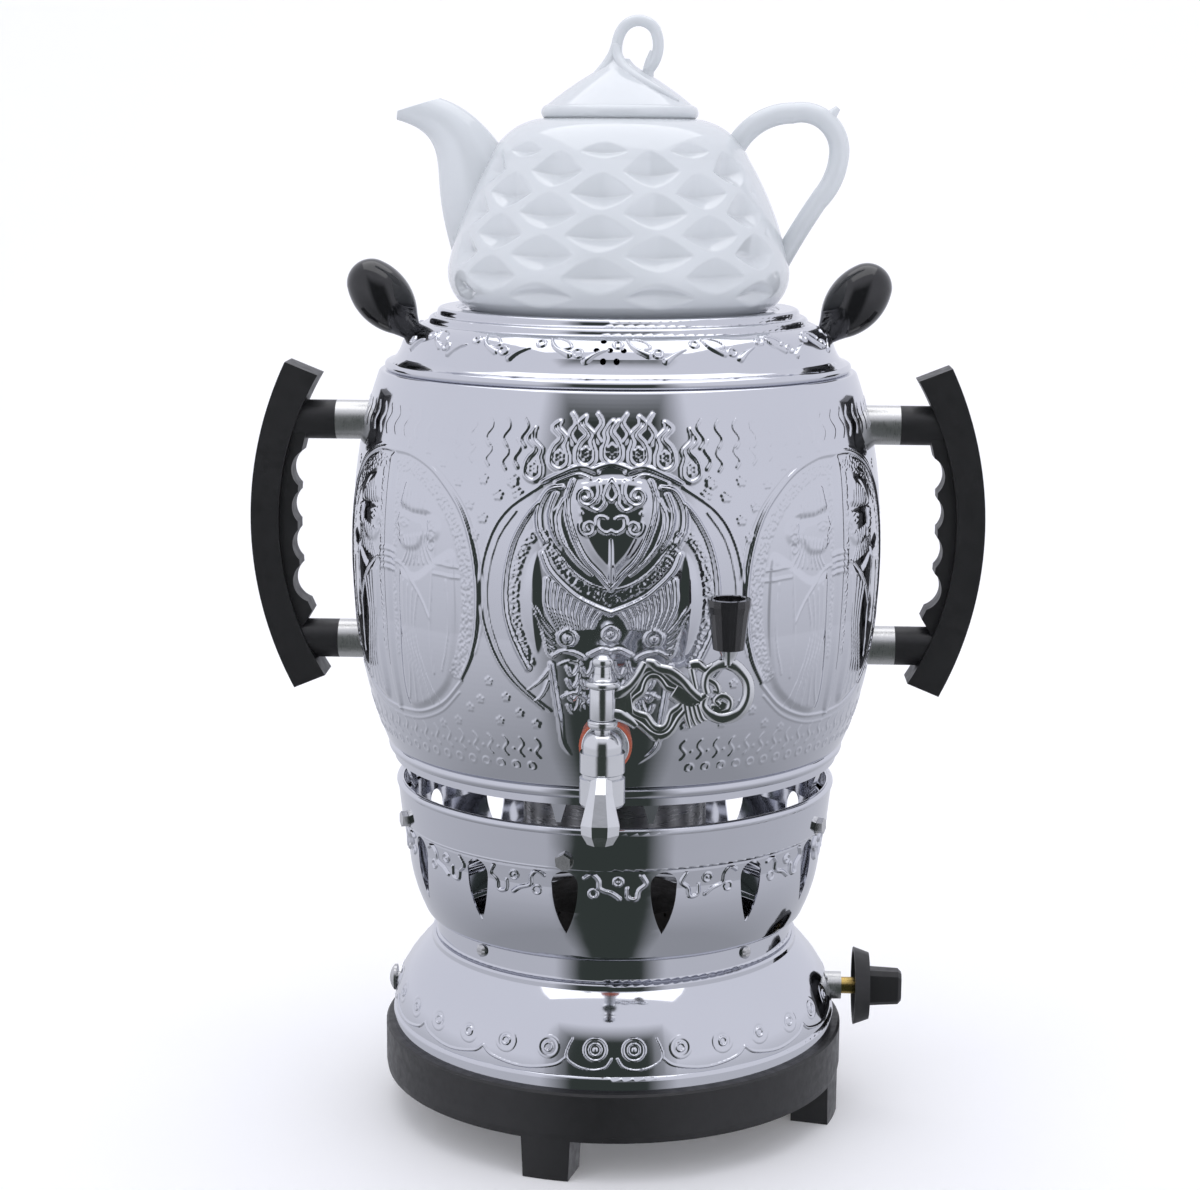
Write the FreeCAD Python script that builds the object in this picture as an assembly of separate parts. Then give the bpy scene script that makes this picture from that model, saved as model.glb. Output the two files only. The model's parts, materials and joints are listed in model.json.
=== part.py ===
import FreeCAD, Part
import math
import os

# Gas samovar with a porcelain teapot standing on its lid.
# Millimetres, +Z up. The origin is on the floor under the middle of the tank,
# the tap is at the front (-Y) and the two handles are at -X and +X.

V = FreeCAD.Vector
UP = V(0, 0, 1)
ALONG_X = V(1, 0, 0)
ALONG_Y = V(0, 1, 0)

# Driving dimensions
GAUGE = 0.8                # pressed sheet steel
RUN_FIT = 0.05             # radial clearance of a shaft in its bore

FOOT_HEIGHT = 18.5
BASE_TOP = 41.0
BASE_R = 108.5
FOOT_ANGLES = (-104, -14, 76, 166)
FOOT_WIDTH = 24.0

SKIRT_R = 105.0
SKIRT_SEAT_Z = 33.0
NECK_Z = 84.0
COLLAR_R = 83.4
COLLAR_TOP = 95.0

BOWL_FOOT_Z = 87.0
BOWL_TOP_R = 98.4
BOWL_TOP_Z = 148.0
BOWL_TURN = 2.0            # the bowl is bolted on a little round from the tap
VENT_COUNT = 14
VENT_WIDTH = 11.7
VENT_LOW = 109.5
VENT_HIGH = 139.0
BAND_LOW = 140.0
RIM_Z = 158.2

TANK_LOW = 174.0
TANK_LOW_R = 104.0
BELLY_R = 121.5
BELLY_Z = 272.0
TANK_TOP = 350.0
MOUTH_R = 98.5

LID_LIP_R = 97.9
PLATE_R = 80.0
PLATE_Z = 378.0
SEAT_Z = 376.6
HOLE_PITCH = 5.7
HOLE_R = 1.3
KNOB_ROOT = (94.5, 365.5)
KNOB_TILT = 40.0           # from upright, leaning away from the middle
KNOB_LENGTH = 40.0
KNOB_R = 13.0

HANDLE_LOW_Z = 222.0
HANDLE_HIGH_Z = 325.0
TUBE_R = 9.0
TUBE_BORE_R = 7.6
STUB_X = 129.5
GRIP_OUT = (152.0, 169.0, 150.0)
GRIP_Z = (200.0, 278.0, 352.0)
GRIP_WIDTH = 20.0
RIB_WIDTH = 14.0
FINGER_PITCH = 17.4
FINGER_R = 10.0

TAP_Y = -150.0
TAP_Z = 201.0
TAP_BODY_R = 9.4
TAIL_R = 6.0
STEM_R = 3.4
PLUG_R = (6.0, 5.0)
PLUG_Z = (186.0, 205.5)
HUB_Z = (219.8, 233.6)
HUB_R = 5.4
LEVER_THICK = 4.6
LEVER_EYE = (22.0, 228.0)
LEVER_SCROLL = (48.5, 232.6)
LEVER_POST_X = 51.0
LEVER_KNOB_Z = (250.0, 270.8)

VALVE_Z = 56.0
VALVE_X = 80.0
GAS_STEM_R = 3.95
INLET_R = 4.5

POT_BASE_Z = 376.6
POT_SEAT_Z = 462.0
POT_MOUTH_R = 34.8
POT_LID_TOP = 488.6
POT_FLOOR_Z = 381.2     # the inside of the pot's bottom
POT_SEAM_Z = 446.0      # where the shoulder is stuck on with slip
SPOUT_WALL = 2.8

BURNER_R = 34.0
BURNER_TOP = 96.0
FLAME_SKIRT_R = 43.0


def crown(start, top):
    # The arc step from a point to the axis at the given height, round about the axis.
    rise = top - start[1]
    radius = (start[0] ** 2 + rise ** 2) / (2 * rise)
    half = math.asin(start[0] / radius) / 2
    return ((radius * math.sin(half), top - radius + radius * math.cos(half)), (0, top))


def path_wire(start, steps):
    # An open outline in the X-Z plane: a step is a point, or (middle, end) of an arc.
    here = V(start[0], 0, start[1])
    edges = []
    for step in steps:
        if isinstance(step[0], tuple):
            middle = V(step[0][0], 0, step[0][1])
            there = V(step[1][0], 0, step[1][1])
            edges.append(Part.Arc(here, middle, there).toShape())
        else:
            there = V(step[0], 0, step[1])
            edges.append(Part.makeLine(here, there))
        here = there
    return Part.Wire(edges)


def profile_face(start, steps):
    # The same outline, closed back to its start with a straight line where it ends elsewhere.
    end = steps[-1][1] if isinstance(steps[-1][0], tuple) else steps[-1]
    if end != start:
        steps = steps + [start]
    return Part.Face(path_wire(start, steps))


def outward(solid):
    # The same solid with its faces looking out.
    if solid.Volume < 0:
        return Part.makeSolid(solid.Shells[0])
    return solid


def turned(face):
    return outward(face.revolve(V(0, 0, 0), UP, 360))


def drawn(face, along):
    return outward(face.extrude(along))


def turned_profile(start, steps):
    return turned(profile_face(start, steps))


def pressed_sheet(start, steps, gauge=GAUGE):
    # A sheet of even gauge, whose outer side is the outline.
    wire = path_wire(start, steps)
    faces = []
    for side in (gauge, -gauge):
        skin = wire.makeOffset2D(side, join=0, fill=True, openResult=True)
        faces.append(skin.Faces[0])
    inner = min(faces, key=lambda face: face.CenterOfMass.x)
    return turned(inner)


def rod(radius, start, end):
    start = V(*start)
    along = V(*end).sub(start)
    return Part.makeCylinder(radius, along.Length, start, along)


def tube(outer, bore, start, end):
    return rod(outer, start, end).cut(rod(bore, start, end))


def cone(radius_1, radius_2, start, end):
    start = V(*start)
    along = V(*end).sub(start)
    return Part.makeCone(radius_1, radius_2, along.Length, start, along)


def hexagon(across, start, end):
    # A hexagonal bar with the given width across its flats.
    start = V(*start)
    along = V(*end).sub(start)
    radius = across / math.sqrt(3)
    bar = Part.Face(Part.makePolygon([
        V(radius * math.cos(math.radians(60 * i)), radius * math.sin(math.radians(60 * i)), 0)
        for i in range(7)])).extrude(V(0, 0, along.Length))
    bar.Placement = FreeCAD.Placement(start, FreeCAD.Rotation(UP, along))
    return bar


def spun(shape, angle):
    copy = shape.copy()
    copy.rotate(V(0, 0, 0), UP, angle)
    return copy


def mirrored(shape):
    return shape.mirror(V(0, 0, 0), ALONG_X)


def group(shapes):
    return Part.makeCompound(shapes)


def save(name, shape):
    if len(shape.Solids) == 1:
        shape = outward(shape.Solids[0])
    assert shape.isValid() and shape.Volume > 0, name + " is not a sound solid"
    shape.exportStep("parts/" + name + ".step")


# Base

def base_ring():
    ring = turned_profile((108.0, FOOT_HEIGHT), [
        (BASE_R, FOOT_HEIGHT + 3),
        (BASE_R, BASE_TOP - 1),
        (BASE_R - 1, BASE_TOP),
        (SKIRT_R, BASE_TOP),
        (SKIRT_R, SKIRT_SEAT_Z),
        (96.0, SKIRT_SEAT_Z),
        (96.0, SKIRT_SEAT_Z - 3),
        (SKIRT_R, SKIRT_SEAT_Z - 3),
        (SKIRT_R, FOOT_HEIGHT)])
    half = FOOT_WIDTH / 2
    toe = half - 1.5
    front = Part.makePolygon([V(0, -half, 31.0), V(0, half, 31.0), V(0, toe, 0), V(0, -toe, 0),
                              V(0, -half, 31.0)])
    block = drawn(Part.Face(front), V(20.0, 0, 0))
    block.translate(V(90.0, 0, 0))
    outside = Part.makeCylinder(BASE_R - 0.4, 60)
    foot = block.common(outside)
    for angle in FOOT_ANGLES:
        ring = ring.fuse(spun(foot, angle))
    return ring.removeSplitter()


def base_skirt():
    skirt = pressed_sheet((SKIRT_R, SKIRT_SEAT_Z), [
        (SKIRT_R, 46.0),
        ((104.6, 47.2), (103.9, 47.8)),
        ((101.7, 60.5), (94.2, 73.0)),
        ((90.6, 77.2), (86.6, 81.0)),
        (86.6, 83.0),
        ((85.9, 84.0), (84.6, NECK_Z + 0.2)),
        ((83.8, NECK_Z + 0.5), (COLLAR_R, NECK_Z + 1.4)),
        (COLLAR_R, COLLAR_TOP)])
    valve_hole = rod(6.0, (95, 0, VALVE_Z), (110, 0, VALVE_Z))
    bolt_hole = rod(3.0, (-110, 0, VALVE_Z), (-95, 0, VALVE_Z))
    inlet_hole = rod(6.5, (VALVE_X, 50, VALVE_Z), (VALVE_X, 90, VALVE_Z))
    holes = [valve_hole, bolt_hole, inlet_hole]
    for angle in (45, 135, 225, 315):
        holes.append(spun(rod(1.6, (80, 0, 90.8), (88, 0, 90.8)), angle + BOWL_TURN))
    return skirt.cut(holes)


def pan_screw(radius, head_r, head_height, shank):
    # A screw along +X, its head's underside at X = 0.
    head = rod(head_r, (0, 0, 0), (head_height * 0.45, 0, 0))
    dome = cone(head_r, head_r * 0.55, (head_height * 0.45, 0, 0), (head_height, 0, 0))
    slot = Part.makeBox(head_height, head_r * 3, head_r * 0.35,
                        V(head_height * 0.6, -head_r * 1.5, -head_r * 0.175))
    return head.fuse([dome, rod(radius, (-shank, 0, 0), (0, 0, 0))]).cut(slot)


def neck_screws():
    screws = []
    for angle in (45, 135, 225, 315):
        screw = pan_screw(1.6, 3.0, 1.9, 4.0)
        screw.translate(V(COLLAR_R + GAUGE, 0, 90.8))
        screws.append(spun(screw, angle + BOWL_TURN))
    return group(screws)


# Gas valve and burner

def gas_valve():
    body = rod(9.0, (62.0, 0, VALVE_Z), (94.5, 0, VALVE_Z))
    body = body.fuse(hexagon(17.0, (66.0, 0, VALVE_Z), (74.0, 0, VALVE_Z)))
    body = body.fuse(rod(5.9, (94.5, 0, VALVE_Z), (107.5, 0, VALVE_Z)))
    body = body.fuse(rod(8.0, (VALVE_X, 0, VALVE_Z), (VALVE_X, 15.0, VALVE_Z)))
    body = body.fuse(rod(5.0, (56.0, 0, VALVE_Z), (62.0, 0, VALVE_Z)))
    stem_bore = rod(GAS_STEM_R + RUN_FIT, (76.0, 0, VALVE_Z), (108.0, 0, VALVE_Z))
    gas_way = rod(1.2, (55.0, 0, VALVE_Z), (77.0, 0, VALVE_Z))
    inlet_way = rod(2.5, (VALVE_X, 0, VALVE_Z), (VALVE_X, 15.0, VALVE_Z))
    return body.cut([stem_bore, gas_way, inlet_way])


def valve_collar():
    collar = tube(6.5, 5.9, (103.9, 0, VALVE_Z), (108.7, 0, VALVE_Z))
    return collar.fuse(collar_seat())


def collar_seat():
    # The collar's inner end is cut to the skirt's slope, so that it seats all round.
    blank = tube(6.5, 5.9, (98.0, 0, VALVE_Z), (104.0, 0, VALVE_Z))
    skirt_core = turned_profile((0, 30), [
        (SKIRT_R, 30),
        (103.9, 47.8),
        ((101.7, 60.5), (94.2, 73.0)),
        (0, 73.0)])
    return blank.cut(skirt_core)


def gas_inlet_tail():
    seat = rod(6.0, (VALVE_X, 15.0, VALVE_Z), (VALVE_X, 22.0, VALVE_Z))
    pipe = rod(INLET_R, (VALVE_X, 22.0, VALVE_Z), (VALVE_X, 94.0, VALVE_Z))
    tip = cone(INLET_R, INLET_R - 1, (VALVE_X, 94.0, VALVE_Z), (VALVE_X, 95.5, VALVE_Z))
    stop = rod(5.8, (VALVE_X, 71.0, VALVE_Z), (VALVE_X, 73.0, VALVE_Z))
    bore = rod(2.5, (VALVE_X, 15.0, VALVE_Z), (VALVE_X, 96.0, VALVE_Z))
    return seat.fuse([pipe, tip, stop]).cut(bore)


def gas_stem():
    stem = rod(GAS_STEM_R, (82.5, 0, VALVE_Z), (117.0, 0, VALVE_Z))
    tang = rod(GAS_STEM_R - 0.95, (117.0, 0, VALVE_Z), (131.0, 0, VALVE_Z))
    flat = Part.makeBox(14.0, 8.0, 4.0, V(117.0, -4.0, VALVE_Z + 1.8))
    return stem.fuse(tang).cut(flat)


def gas_knob():
    # A hollow skirted disc with a square bar grip.
    skirt = cone(18.4, 15.8, (114.6, 0, VALVE_Z), (121.8, 0, VALVE_Z))
    hollow = cone(16.6, 14.4, (114.6, 0, VALVE_Z), (119.8, 0, VALVE_Z))
    hub = rod(5.5, (117.0, 0, VALVE_Z), (122.0, 0, VALVE_Z))
    grip = wedge_bar(121.0, 137.4)
    bore = gas_stem_socket()
    return skirt.cut(hollow).fuse([hub, grip]).cut(bore).removeSplitter()


def wedge_bar(start, end):
    # The grip's section is a bar with chamfered corners, a little smaller at its end.
    wires = []
    for x, half_y, half_z in ((start, 5.6, 8.7), (end - 1.6, 5.0, 8.0), (end, 3.8, 6.6)):
        cut = 2.0
        points = [V(x, -half_y, -half_z + cut), V(x, -half_y + cut, -half_z),
                  V(x, half_y - cut, -half_z), V(x, half_y, -half_z + cut),
                  V(x, half_y, half_z - cut), V(x, half_y - cut, half_z),
                  V(x, -half_y + cut, half_z), V(x, -half_y, half_z - cut)]
        points.append(points[0])
        wires.append(Part.makePolygon(points))
    bar = Part.makeLoft(wires, True, True)
    bar.translate(V(0, 0, VALVE_Z))
    return bar


def gas_stem_socket():
    socket = rod(GAS_STEM_R - 0.95, (116.0, 0, VALVE_Z), (131.0, 0, VALVE_Z))
    flat = Part.makeBox(16.0, 8.0, 4.0, V(116.0, -4.0, VALVE_Z + 1.8))
    return socket.cut(flat)


def burner_body():
    # A cast mushroom on a side mixing tube.
    cup = turned_profile((0, 62.0), [
        (16.0, 62.0),
        ((26.0, 72.0), (BURNER_R, 88.0)),
        (BURNER_R, BURNER_TOP),
        (BURNER_R - 3, BURNER_TOP),
        (BURNER_R - 3, 89.5),
        ((23.5, 75.0), (13.0, 65.0)),
        (0, 65.0)])
    throat = rod(11.0, (0, 0, 45.0), (0, 0, 64.0))
    mixer = rod(9.0, (0, 0, VALVE_Z), (46.0, 0, VALVE_Z))
    bell = cone(9.0, 12.0, (46.0, 0, VALVE_Z), (52.0, 0, VALVE_Z))
    boss = rod(8.0, (-24.0, 0, VALVE_Z), (0, 0, VALVE_Z))
    body = cup.fuse([throat, mixer, bell, boss])
    way_up = rod(8.0, (0, 0, 48.0), (0, 0, 66.0))
    way_in = rod(6.5, (0, 0, VALVE_Z), (46.0, 0, VALVE_Z))
    mouth = cone(6.5, 10.5, (46.0, 0, VALVE_Z), (52.0, 0, VALVE_Z))
    return body.cut([way_up, way_in, mouth])


def burner_cap():
    cap = turned_profile((0, BURNER_TOP), [
        (BURNER_R + 1, BURNER_TOP),
        (BURNER_R + 1, BURNER_TOP + 3),
        crown((BURNER_R + 1, BURNER_TOP + 3), BURNER_TOP + 8)])
    slot = Part.makeBox(9.0, 1.6, 2.0, V(BURNER_R - 7.0, -0.8, BURNER_TOP))
    slots = [spun(slot, 15 * i) for i in range(24)]
    return cap.cut(slots)


def burner_support_rod():
    bar = rod(5.0, (-101.3, 0, VALVE_Z), (-24.0, 0, VALVE_Z))
    hole = rod(2.5, (-106.0, 0, VALVE_Z), (-90.0, 0, VALVE_Z))
    inside = turned_profile((0, 30), [
        (SKIRT_R - GAUGE, 30),
        (103.0, 47.8),
        ((100.75, 60.5), (93.3, 73.0)),
        (0, 73.0)])
    return bar.cut(hole).common(inside)


def support_rod_bolt():
    head = turned_profile((0, 0), [
        (6.2, 0),
        (6.2, 1.2),
        crown((6.2, 1.2), 3.6)])
    shank = Part.makeCylinder(2.5, 13.5, V(0, 0, -13.5))
    bolt = head.fuse(shank)
    bolt.rotate(V(0, 0, 0), ALONG_Y, -90)
    bolt.translate(V(-104.0, 0, VALVE_Z))
    return bolt


# Fire bowl

def vent():
    # A drop-shaped window: round above, pointed below.
    half = VENT_WIDTH / 2
    shoulder = VENT_HIGH - 7.0
    edge = profile_face((0, VENT_LOW), [
        ((half * 0.72, VENT_LOW + 10.5), (half, shoulder)),
        ((0, VENT_HIGH), (-half, shoulder)),
        ((-half * 0.72, VENT_LOW + 10.5), (0, VENT_LOW))])
    window = drawn(edge, V(0, -30, 0))
    window.translate(V(0, -80, 0))
    return window


def fire_bowl():
    inner_r = BOWL_TOP_R - GAUGE
    bowl = turned_profile((COLLAR_R + GAUGE, BOWL_FOOT_Z), [
        (COLLAR_R + GAUGE, 94.6),
        ((87.4, 95.3), (89.8, 98.2)),
        ((94.8, 112.0), (97.2, 131.0)),
        (BOWL_TOP_R, 138.6),
        (BOWL_TOP_R, BOWL_TOP_Z),
        (inner_r, BOWL_TOP_Z),
        (inner_r, 138.7),
        (96.4, 131.2),
        ((94.0, 112.2), (89.2, 98.8)),
        ((87.1, 96.2), (COLLAR_R, 95.4)),
        (COLLAR_R, BOWL_FOOT_Z)])
    step = 360.0 / VENT_COUNT
    cuts = [spun(vent(), BOWL_TURN + step * (i + 0.5)) for i in range(VENT_COUNT)]
    for angle in (45, 135, 225, 315):
        cuts.append(spun(rod(1.6, (80, 0, 90.8), (88, 0, 90.8)), angle + BOWL_TURN))
    for angle in band_bolt_angles():
        cuts.append(spun(rod(2.0, (95, 0, 144.4), (104, 0, 144.4)), angle))
    return bowl.cut(cuts)


def band_bolt_angles():
    return (-100.5, -20.0, 90.0, 200.0)


def bowl_band():
    # A flared band over the bowl's top edge, with a rolled rim.
    inner = BOWL_TOP_R
    band = turned_profile((inner, BAND_LOW), [
        (inner + GAUGE, BAND_LOW),
        ((inner + 1.5, BAND_LOW + 0.3), (inner + 1.7, BAND_LOW + 1.4)),
        (inner + 3.4, RIM_Z - 1.6),
        ((inner + 4.1, RIM_Z), (inner + 2.3, RIM_Z + 1.8)),
        ((inner + 0.5, RIM_Z), (inner + 2.3, RIM_Z - 1.6)),
        (inner + 0.9, BAND_LOW + 3.0),
        (inner, BAND_LOW + 3.0)])
    holes = [spun(rod(2.15, (95, 0, 144.4), (104, 0, 144.4)), a) for a in band_bolt_angles()]
    return band.cut(holes)


def band_bolts():
    bolts = []
    for angle in band_bolt_angles():
        head = hexagon(6.4, (100.6, 0, 144.4), (103.4, 0, 144.4))
        washer = rod(4.2, (99.9, 0, 144.4), (100.6, 0, 144.4))
        shank = rod(2.0, (92.5, 0, 144.4), (100.6, 0, 144.4))
        band_core = turned_profile((0, 138), [
            (BOWL_TOP_R + 1.76, 138),
            (BOWL_TOP_R + 1.76, BAND_LOW + 1.4),
            (BOWL_TOP_R + 3.46, RIM_Z - 1.6),
            (0, RIM_Z - 1.6)])
        outside = head.fuse(washer).cut(band_core)
        bolts.append(spun(outside.fuse(shank), angle))
    return group(bolts)


def tank_struts():
    # Strips that carry the tank ring on the bowl's wall.
    struts = []
    for angle in (-20.0, 90.0, 200.0):
        strip = profile_face((BOWL_TOP_R - GAUGE, 140.5), [
            (BOWL_TOP_R - GAUGE, 161.5),
            (101.0, 170.6),
            (98.6, 170.6),
            (BOWL_TOP_R - GAUGE - 1.6, 162.0),
            (BOWL_TOP_R - GAUGE - 1.6, 140.5)])
        bar = drawn(strip, V(0, 8.0, 0))
        bar.translate(V(0, -4.0, 0))
        bar = bar.common(Part.makeCylinder(BOWL_TOP_R - GAUGE, 21.0, V(0, 0, 140.5)).fuse(
            Part.makeCylinder(110.0, 9.1, V(0, 0, 161.5))))
        bar = bar.cut(rod(2.0, (92, 0, 144.4), (104, 0, 144.4)))
        struts.append(spun(bar, angle))
    return group(struts)


def tank_tabs():
    # Two pointed tongues bent down from the tank ring, either side of the tap.
    tabs = []
    for angle in (-102.0, -79.0):
        outline = Part.makePolygon([V(0, -3.6, 170.6), V(0, 3.6, 170.6), V(0, 1.0, 161.8),
                                    V(0, -1.0, 161.8), V(0, -3.6, 170.6)])
        tab = drawn(Part.Face(outline), V(1.2, 0, 0))
        tab.translate(V(99.5, 0, 0))
        tabs.append(spun(tab, angle))
    return group(tabs)


# Tank

def tank_ring():
    return turned_profile((TANK_LOW_R, 179.1), [
        (TANK_LOW_R + 0.6, 179.1),
        ((TANK_LOW_R + 2.1, 176.6), (TANK_LOW_R + 0.6, 174.1)),
        (103.4, 173.6),
        (103.4, 170.6),
        (97.0, 170.6),
        (97.0, 171.8),
        (102.2, 171.8),
        (102.2, TANK_LOW),
        (TANK_LOW_R, TANK_LOW)])


def tank_bottom():
    inner_r = TANK_LOW_R - GAUGE
    return turned_profile((0, 175.0), [
        (100.0, 175.0),
        ((102.3, 175.9), (inner_r, 178.2)),
        (inner_r, 184.0),
        (inner_r - 1, 184.0),
        (inner_r - 1, 178.6),
        ((101.3, 176.8), (99.7, 176.0)),
        (0, 176.0)])


def flame_skirt():
    return tube(FLAME_SKIRT_R, FLAME_SKIRT_R - GAUGE, (0, 0, 128.0), (0, 0, 175.0))


def barrel_steps():
    # The barrel's outer side, from the groove over the ring up to the mouth.
    return [
        (TANK_LOW_R, 179.3),
        ((105.6, 179.4), (106.8, 180.0)),
        ((116.0, 208.6), (120.6, 245.0)),
        ((BELLY_R, BELLY_Z), (120.0, 301.0)),
        ((115.9, 326.0), (109.2, 348.6)),
        ((108.2, 349.8), (107.0, TANK_TOP)),
        (MOUTH_R, TANK_TOP),
        (MOUTH_R, TANK_TOP - 4.5)]


def tank_shell():
    shell = pressed_sheet((TANK_LOW_R, TANK_LOW), barrel_steps())
    holes = [rod(TAIL_R, (0, -125, TAP_Z), (0, -95, TAP_Z))]
    for side in (-1, 1):
        for z in (HANDLE_LOW_Z, HANDLE_HIGH_Z):
            holes.append(rod(2.5, (side * 95, 0, z), (side * 130, 0, z)))
    return shell.cut(holes)


def barrel_core(grow=0.0):
    # The space inside the barrel's outer side, for seating what is fastened to it.
    core = turned_profile((0, 180.0), [
        (106.8, 180.0),
        ((116.0, 208.6), (120.6, 245.0)),
        ((BELLY_R, BELLY_Z), (120.0, 301.0)),
        ((115.9, 326.0), (109.2, 348.6)),
        (0, 348.6)])
    if grow:
        core = core.makeOffsetShape(grow, 0.01)
    return core


# Handles

def spacer(z):
    blank = tube(TUBE_R, TUBE_BORE_R, (100.0, 0, z), (STUB_X, 0, z))
    return blank.cut(barrel_core())


def grip_outline(inner):
    # Seen from the front: the outer edge is one bow, the ends are cut square to it.
    low_x, belly_x, high_x = GRIP_OUT[2], GRIP_OUT[1], GRIP_OUT[0]
    low_z, belly_z, high_z = GRIP_Z
    return profile_face((low_x, low_z), [
        ((belly_x, belly_z), (high_x, high_z)),
        (inner[0][0], inner[0][1]),
        ((inner[1][0], inner[1][1]), (inner[2][0], inner[2][1]))])


def grip():
    # A bowed slab, a narrower finger rib inside it, and two stubs that take the tubes.
    slab = grip_outline(((137.0, 346.0), (156.0, 276.0), (135.5, 206.0)))
    slab = drawn(slab, V(0, GRIP_WIDTH, 0))
    slab.translate(V(0, -GRIP_WIDTH / 2, 0))
    rib = profile_face((150.0, 330.0), [
        (143.0, 320.0),
        (146.0, 308.0),
        ((147.6, 277.0), (146.0, 246.0)),
        (141.5, 236.0),
        (150.0, 222.0),
        ((164.0, 277.0), (150.0, 330.0))])
    rib = drawn(rib, V(0, RIB_WIDTH, 0))
    rib.translate(V(0, -RIB_WIDTH / 2, 0))
    middle_z = (HANDLE_LOW_Z + HANDLE_HIGH_Z) / 2 + 2.5
    fingers = []
    for i in range(4):
        z = middle_z + FINGER_PITCH * (i - 1.5)
        fingers.append(rod(FINGER_R, (140.2, -15, z), (140.2, 15, z)))
    body = slab.fuse(rib.cut(fingers))
    stubs = [rod(TUBE_R, (STUB_X, 0, z), (154.0, 0, z)) for z in (HANDLE_LOW_Z, HANDLE_HIGH_Z)]
    body = body.fuse(stubs)
    rods = [rod(2.5, (120.0, 0, z), (150.0, 0, z)) for z in (HANDLE_LOW_Z, HANDLE_HIGH_Z)]
    return body.cut(rods).removeSplitter()


def handle_studs():
    studs = []
    for side in (-1, 1):
        for z in (HANDLE_LOW_Z, HANDLE_HIGH_Z):
            studs.append(rod(2.5, (side * 102.0, 0, z), (side * 150.0, 0, z)))
    return group(studs)


def handle_nuts():
    # Nuts and shaped washers inside the tank.
    inner = barrel_core(-GAUGE)
    nuts = []
    for side in (-1, 1):
        for z in (HANDLE_LOW_Z, HANDLE_HIGH_Z):
            washer = rod(8.0, (side * 109.0, 0, z), (side * 125.0, 0, z)).common(inner)
            nut = hexagon(8.0, (side * 104.5, 0, z), (side * 109.0, 0, z))
            piece = washer.fuse(nut)
            nuts.append(piece.cut(rod(2.5, (side * 100.0, 0, z), (side * 128.0, 0, z))))
    return group(nuts)


# Tap

def tap_body():
    tail = rod(TAIL_R, (0, -100.0, TAP_Z), (0, TAP_Y, TAP_Z))
    collar = rod(9.6, (0, -121.5, TAP_Z), (0, -119.4, TAP_Z))
    neck = rod(7.2, (0, TAP_Y, TAP_Z), (0, -121.0, TAP_Z))
    barrel = turned_profile((0, 183.8), [
        (8.6, 183.8),
        (TAP_BODY_R, 185.0),
        (TAP_BODY_R, 195.6),
        (TAP_BODY_R - 0.9, 196.2),
        (TAP_BODY_R - 0.9, 197.4),
        (TAP_BODY_R - 0.1, 198.0),
        (TAP_BODY_R - 0.1, 206.4),
        (0, 206.4)])
    barrel.translate(V(0, TAP_Y, 0))
    body = tail.fuse([collar, neck, barrel, spout_outer()])
    taper = (PLUG_R[0] - PLUG_R[1]) / (PLUG_Z[1] - PLUG_Z[0])
    cone_bore = cone(PLUG_R[0] + taper + RUN_FIT, PLUG_R[1] - taper / 2 + RUN_FIT,
                     (0, TAP_Y, PLUG_Z[1] + 1), (0, TAP_Y, PLUG_Z[0] - 0.5))
    water_in = rod(4.0, (0, -99.0, 198.6), (0, TAP_Y, 198.6))
    cuts = [cone_bore, rod(4.0, (0, -99.0, TAP_Z), (0, -148.0, TAP_Z)), water_in]
    cuts.append(spout_way())
    cuts.append(Part.makeCylinder(8.2, 4.0, V(0, TAP_Y, 206.4)))
    return body.cut(cuts)


def octagon_wire(centre, across, tilt):
    radius = across / 2 / math.cos(math.radians(22.5))
    points = []
    for i in range(9):
        angle = math.radians(22.5 + 45 * i)
        points.append(V(radius * math.cos(angle), radius * math.sin(angle), 0))
    wire = Part.makePolygon(points)
    wire.rotate(V(0, 0, 0), ALONG_X, tilt)
    wire.translate(V(*centre))
    return wire


def spout_outer():
    # An eight-sided nozzle that widens downwards and is chamfered at its mouth.
    sections = [
        octagon_wire((0, TAP_Y - 7.4, 195.2), 8.6, -38),
        octagon_wire((0, TAP_Y - 12.6, 190.6), 10.2, -24),
        octagon_wire((0, TAP_Y - 15.4, 179.6), 15.8, -8),
        octagon_wire((0, TAP_Y - 15.8, 176.4), 15.2, 0),
        octagon_wire((0, TAP_Y - 15.8, 172.0), 10.4, 0)]
    return Part.makeLoft(sections, True, True)


def spout_way():
    down = rod(3.6, (0, TAP_Y - 15.8, 187.0), (0, TAP_Y - 15.8, 171.0))
    across = rod(3.0, (0, TAP_Y - 4.0, 193.6), (0, TAP_Y - 15.4, 187.0))
    return down.fuse(across)


def tap_outer_seal():
    blank = tube(11.2, TAIL_R, (0, -119.4, TAP_Z), (0, -108.0, TAP_Z))
    return blank.cut(barrel_core())


def tap_inner_seal():
    blank = tube(11.0, TAIL_R, (0, -118.0, TAP_Z), (0, -108.6, TAP_Z))
    return blank.common(barrel_core(-GAUGE))


def tap_locknut():
    nut = hexagon(20.0, (0, -108.6, TAP_Z), (0, -103.6, TAP_Z))
    return nut.cut(rod(TAIL_R, (0, -110.0, TAP_Z), (0, -100.0, TAP_Z)))


def tap_bonnet():
    # The bell-shaped gland over the plug.
    bonnet = turned_profile((STEM_R + RUN_FIT, 206.4), [
        (8.2, 206.4),
        (8.2, 208.6),
        ((7.4, 212.0), (5.2, 214.4)),
        (STEM_R + RUN_FIT, 214.6)])
    bonnet.translate(V(0, TAP_Y, 0))
    return bonnet


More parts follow.
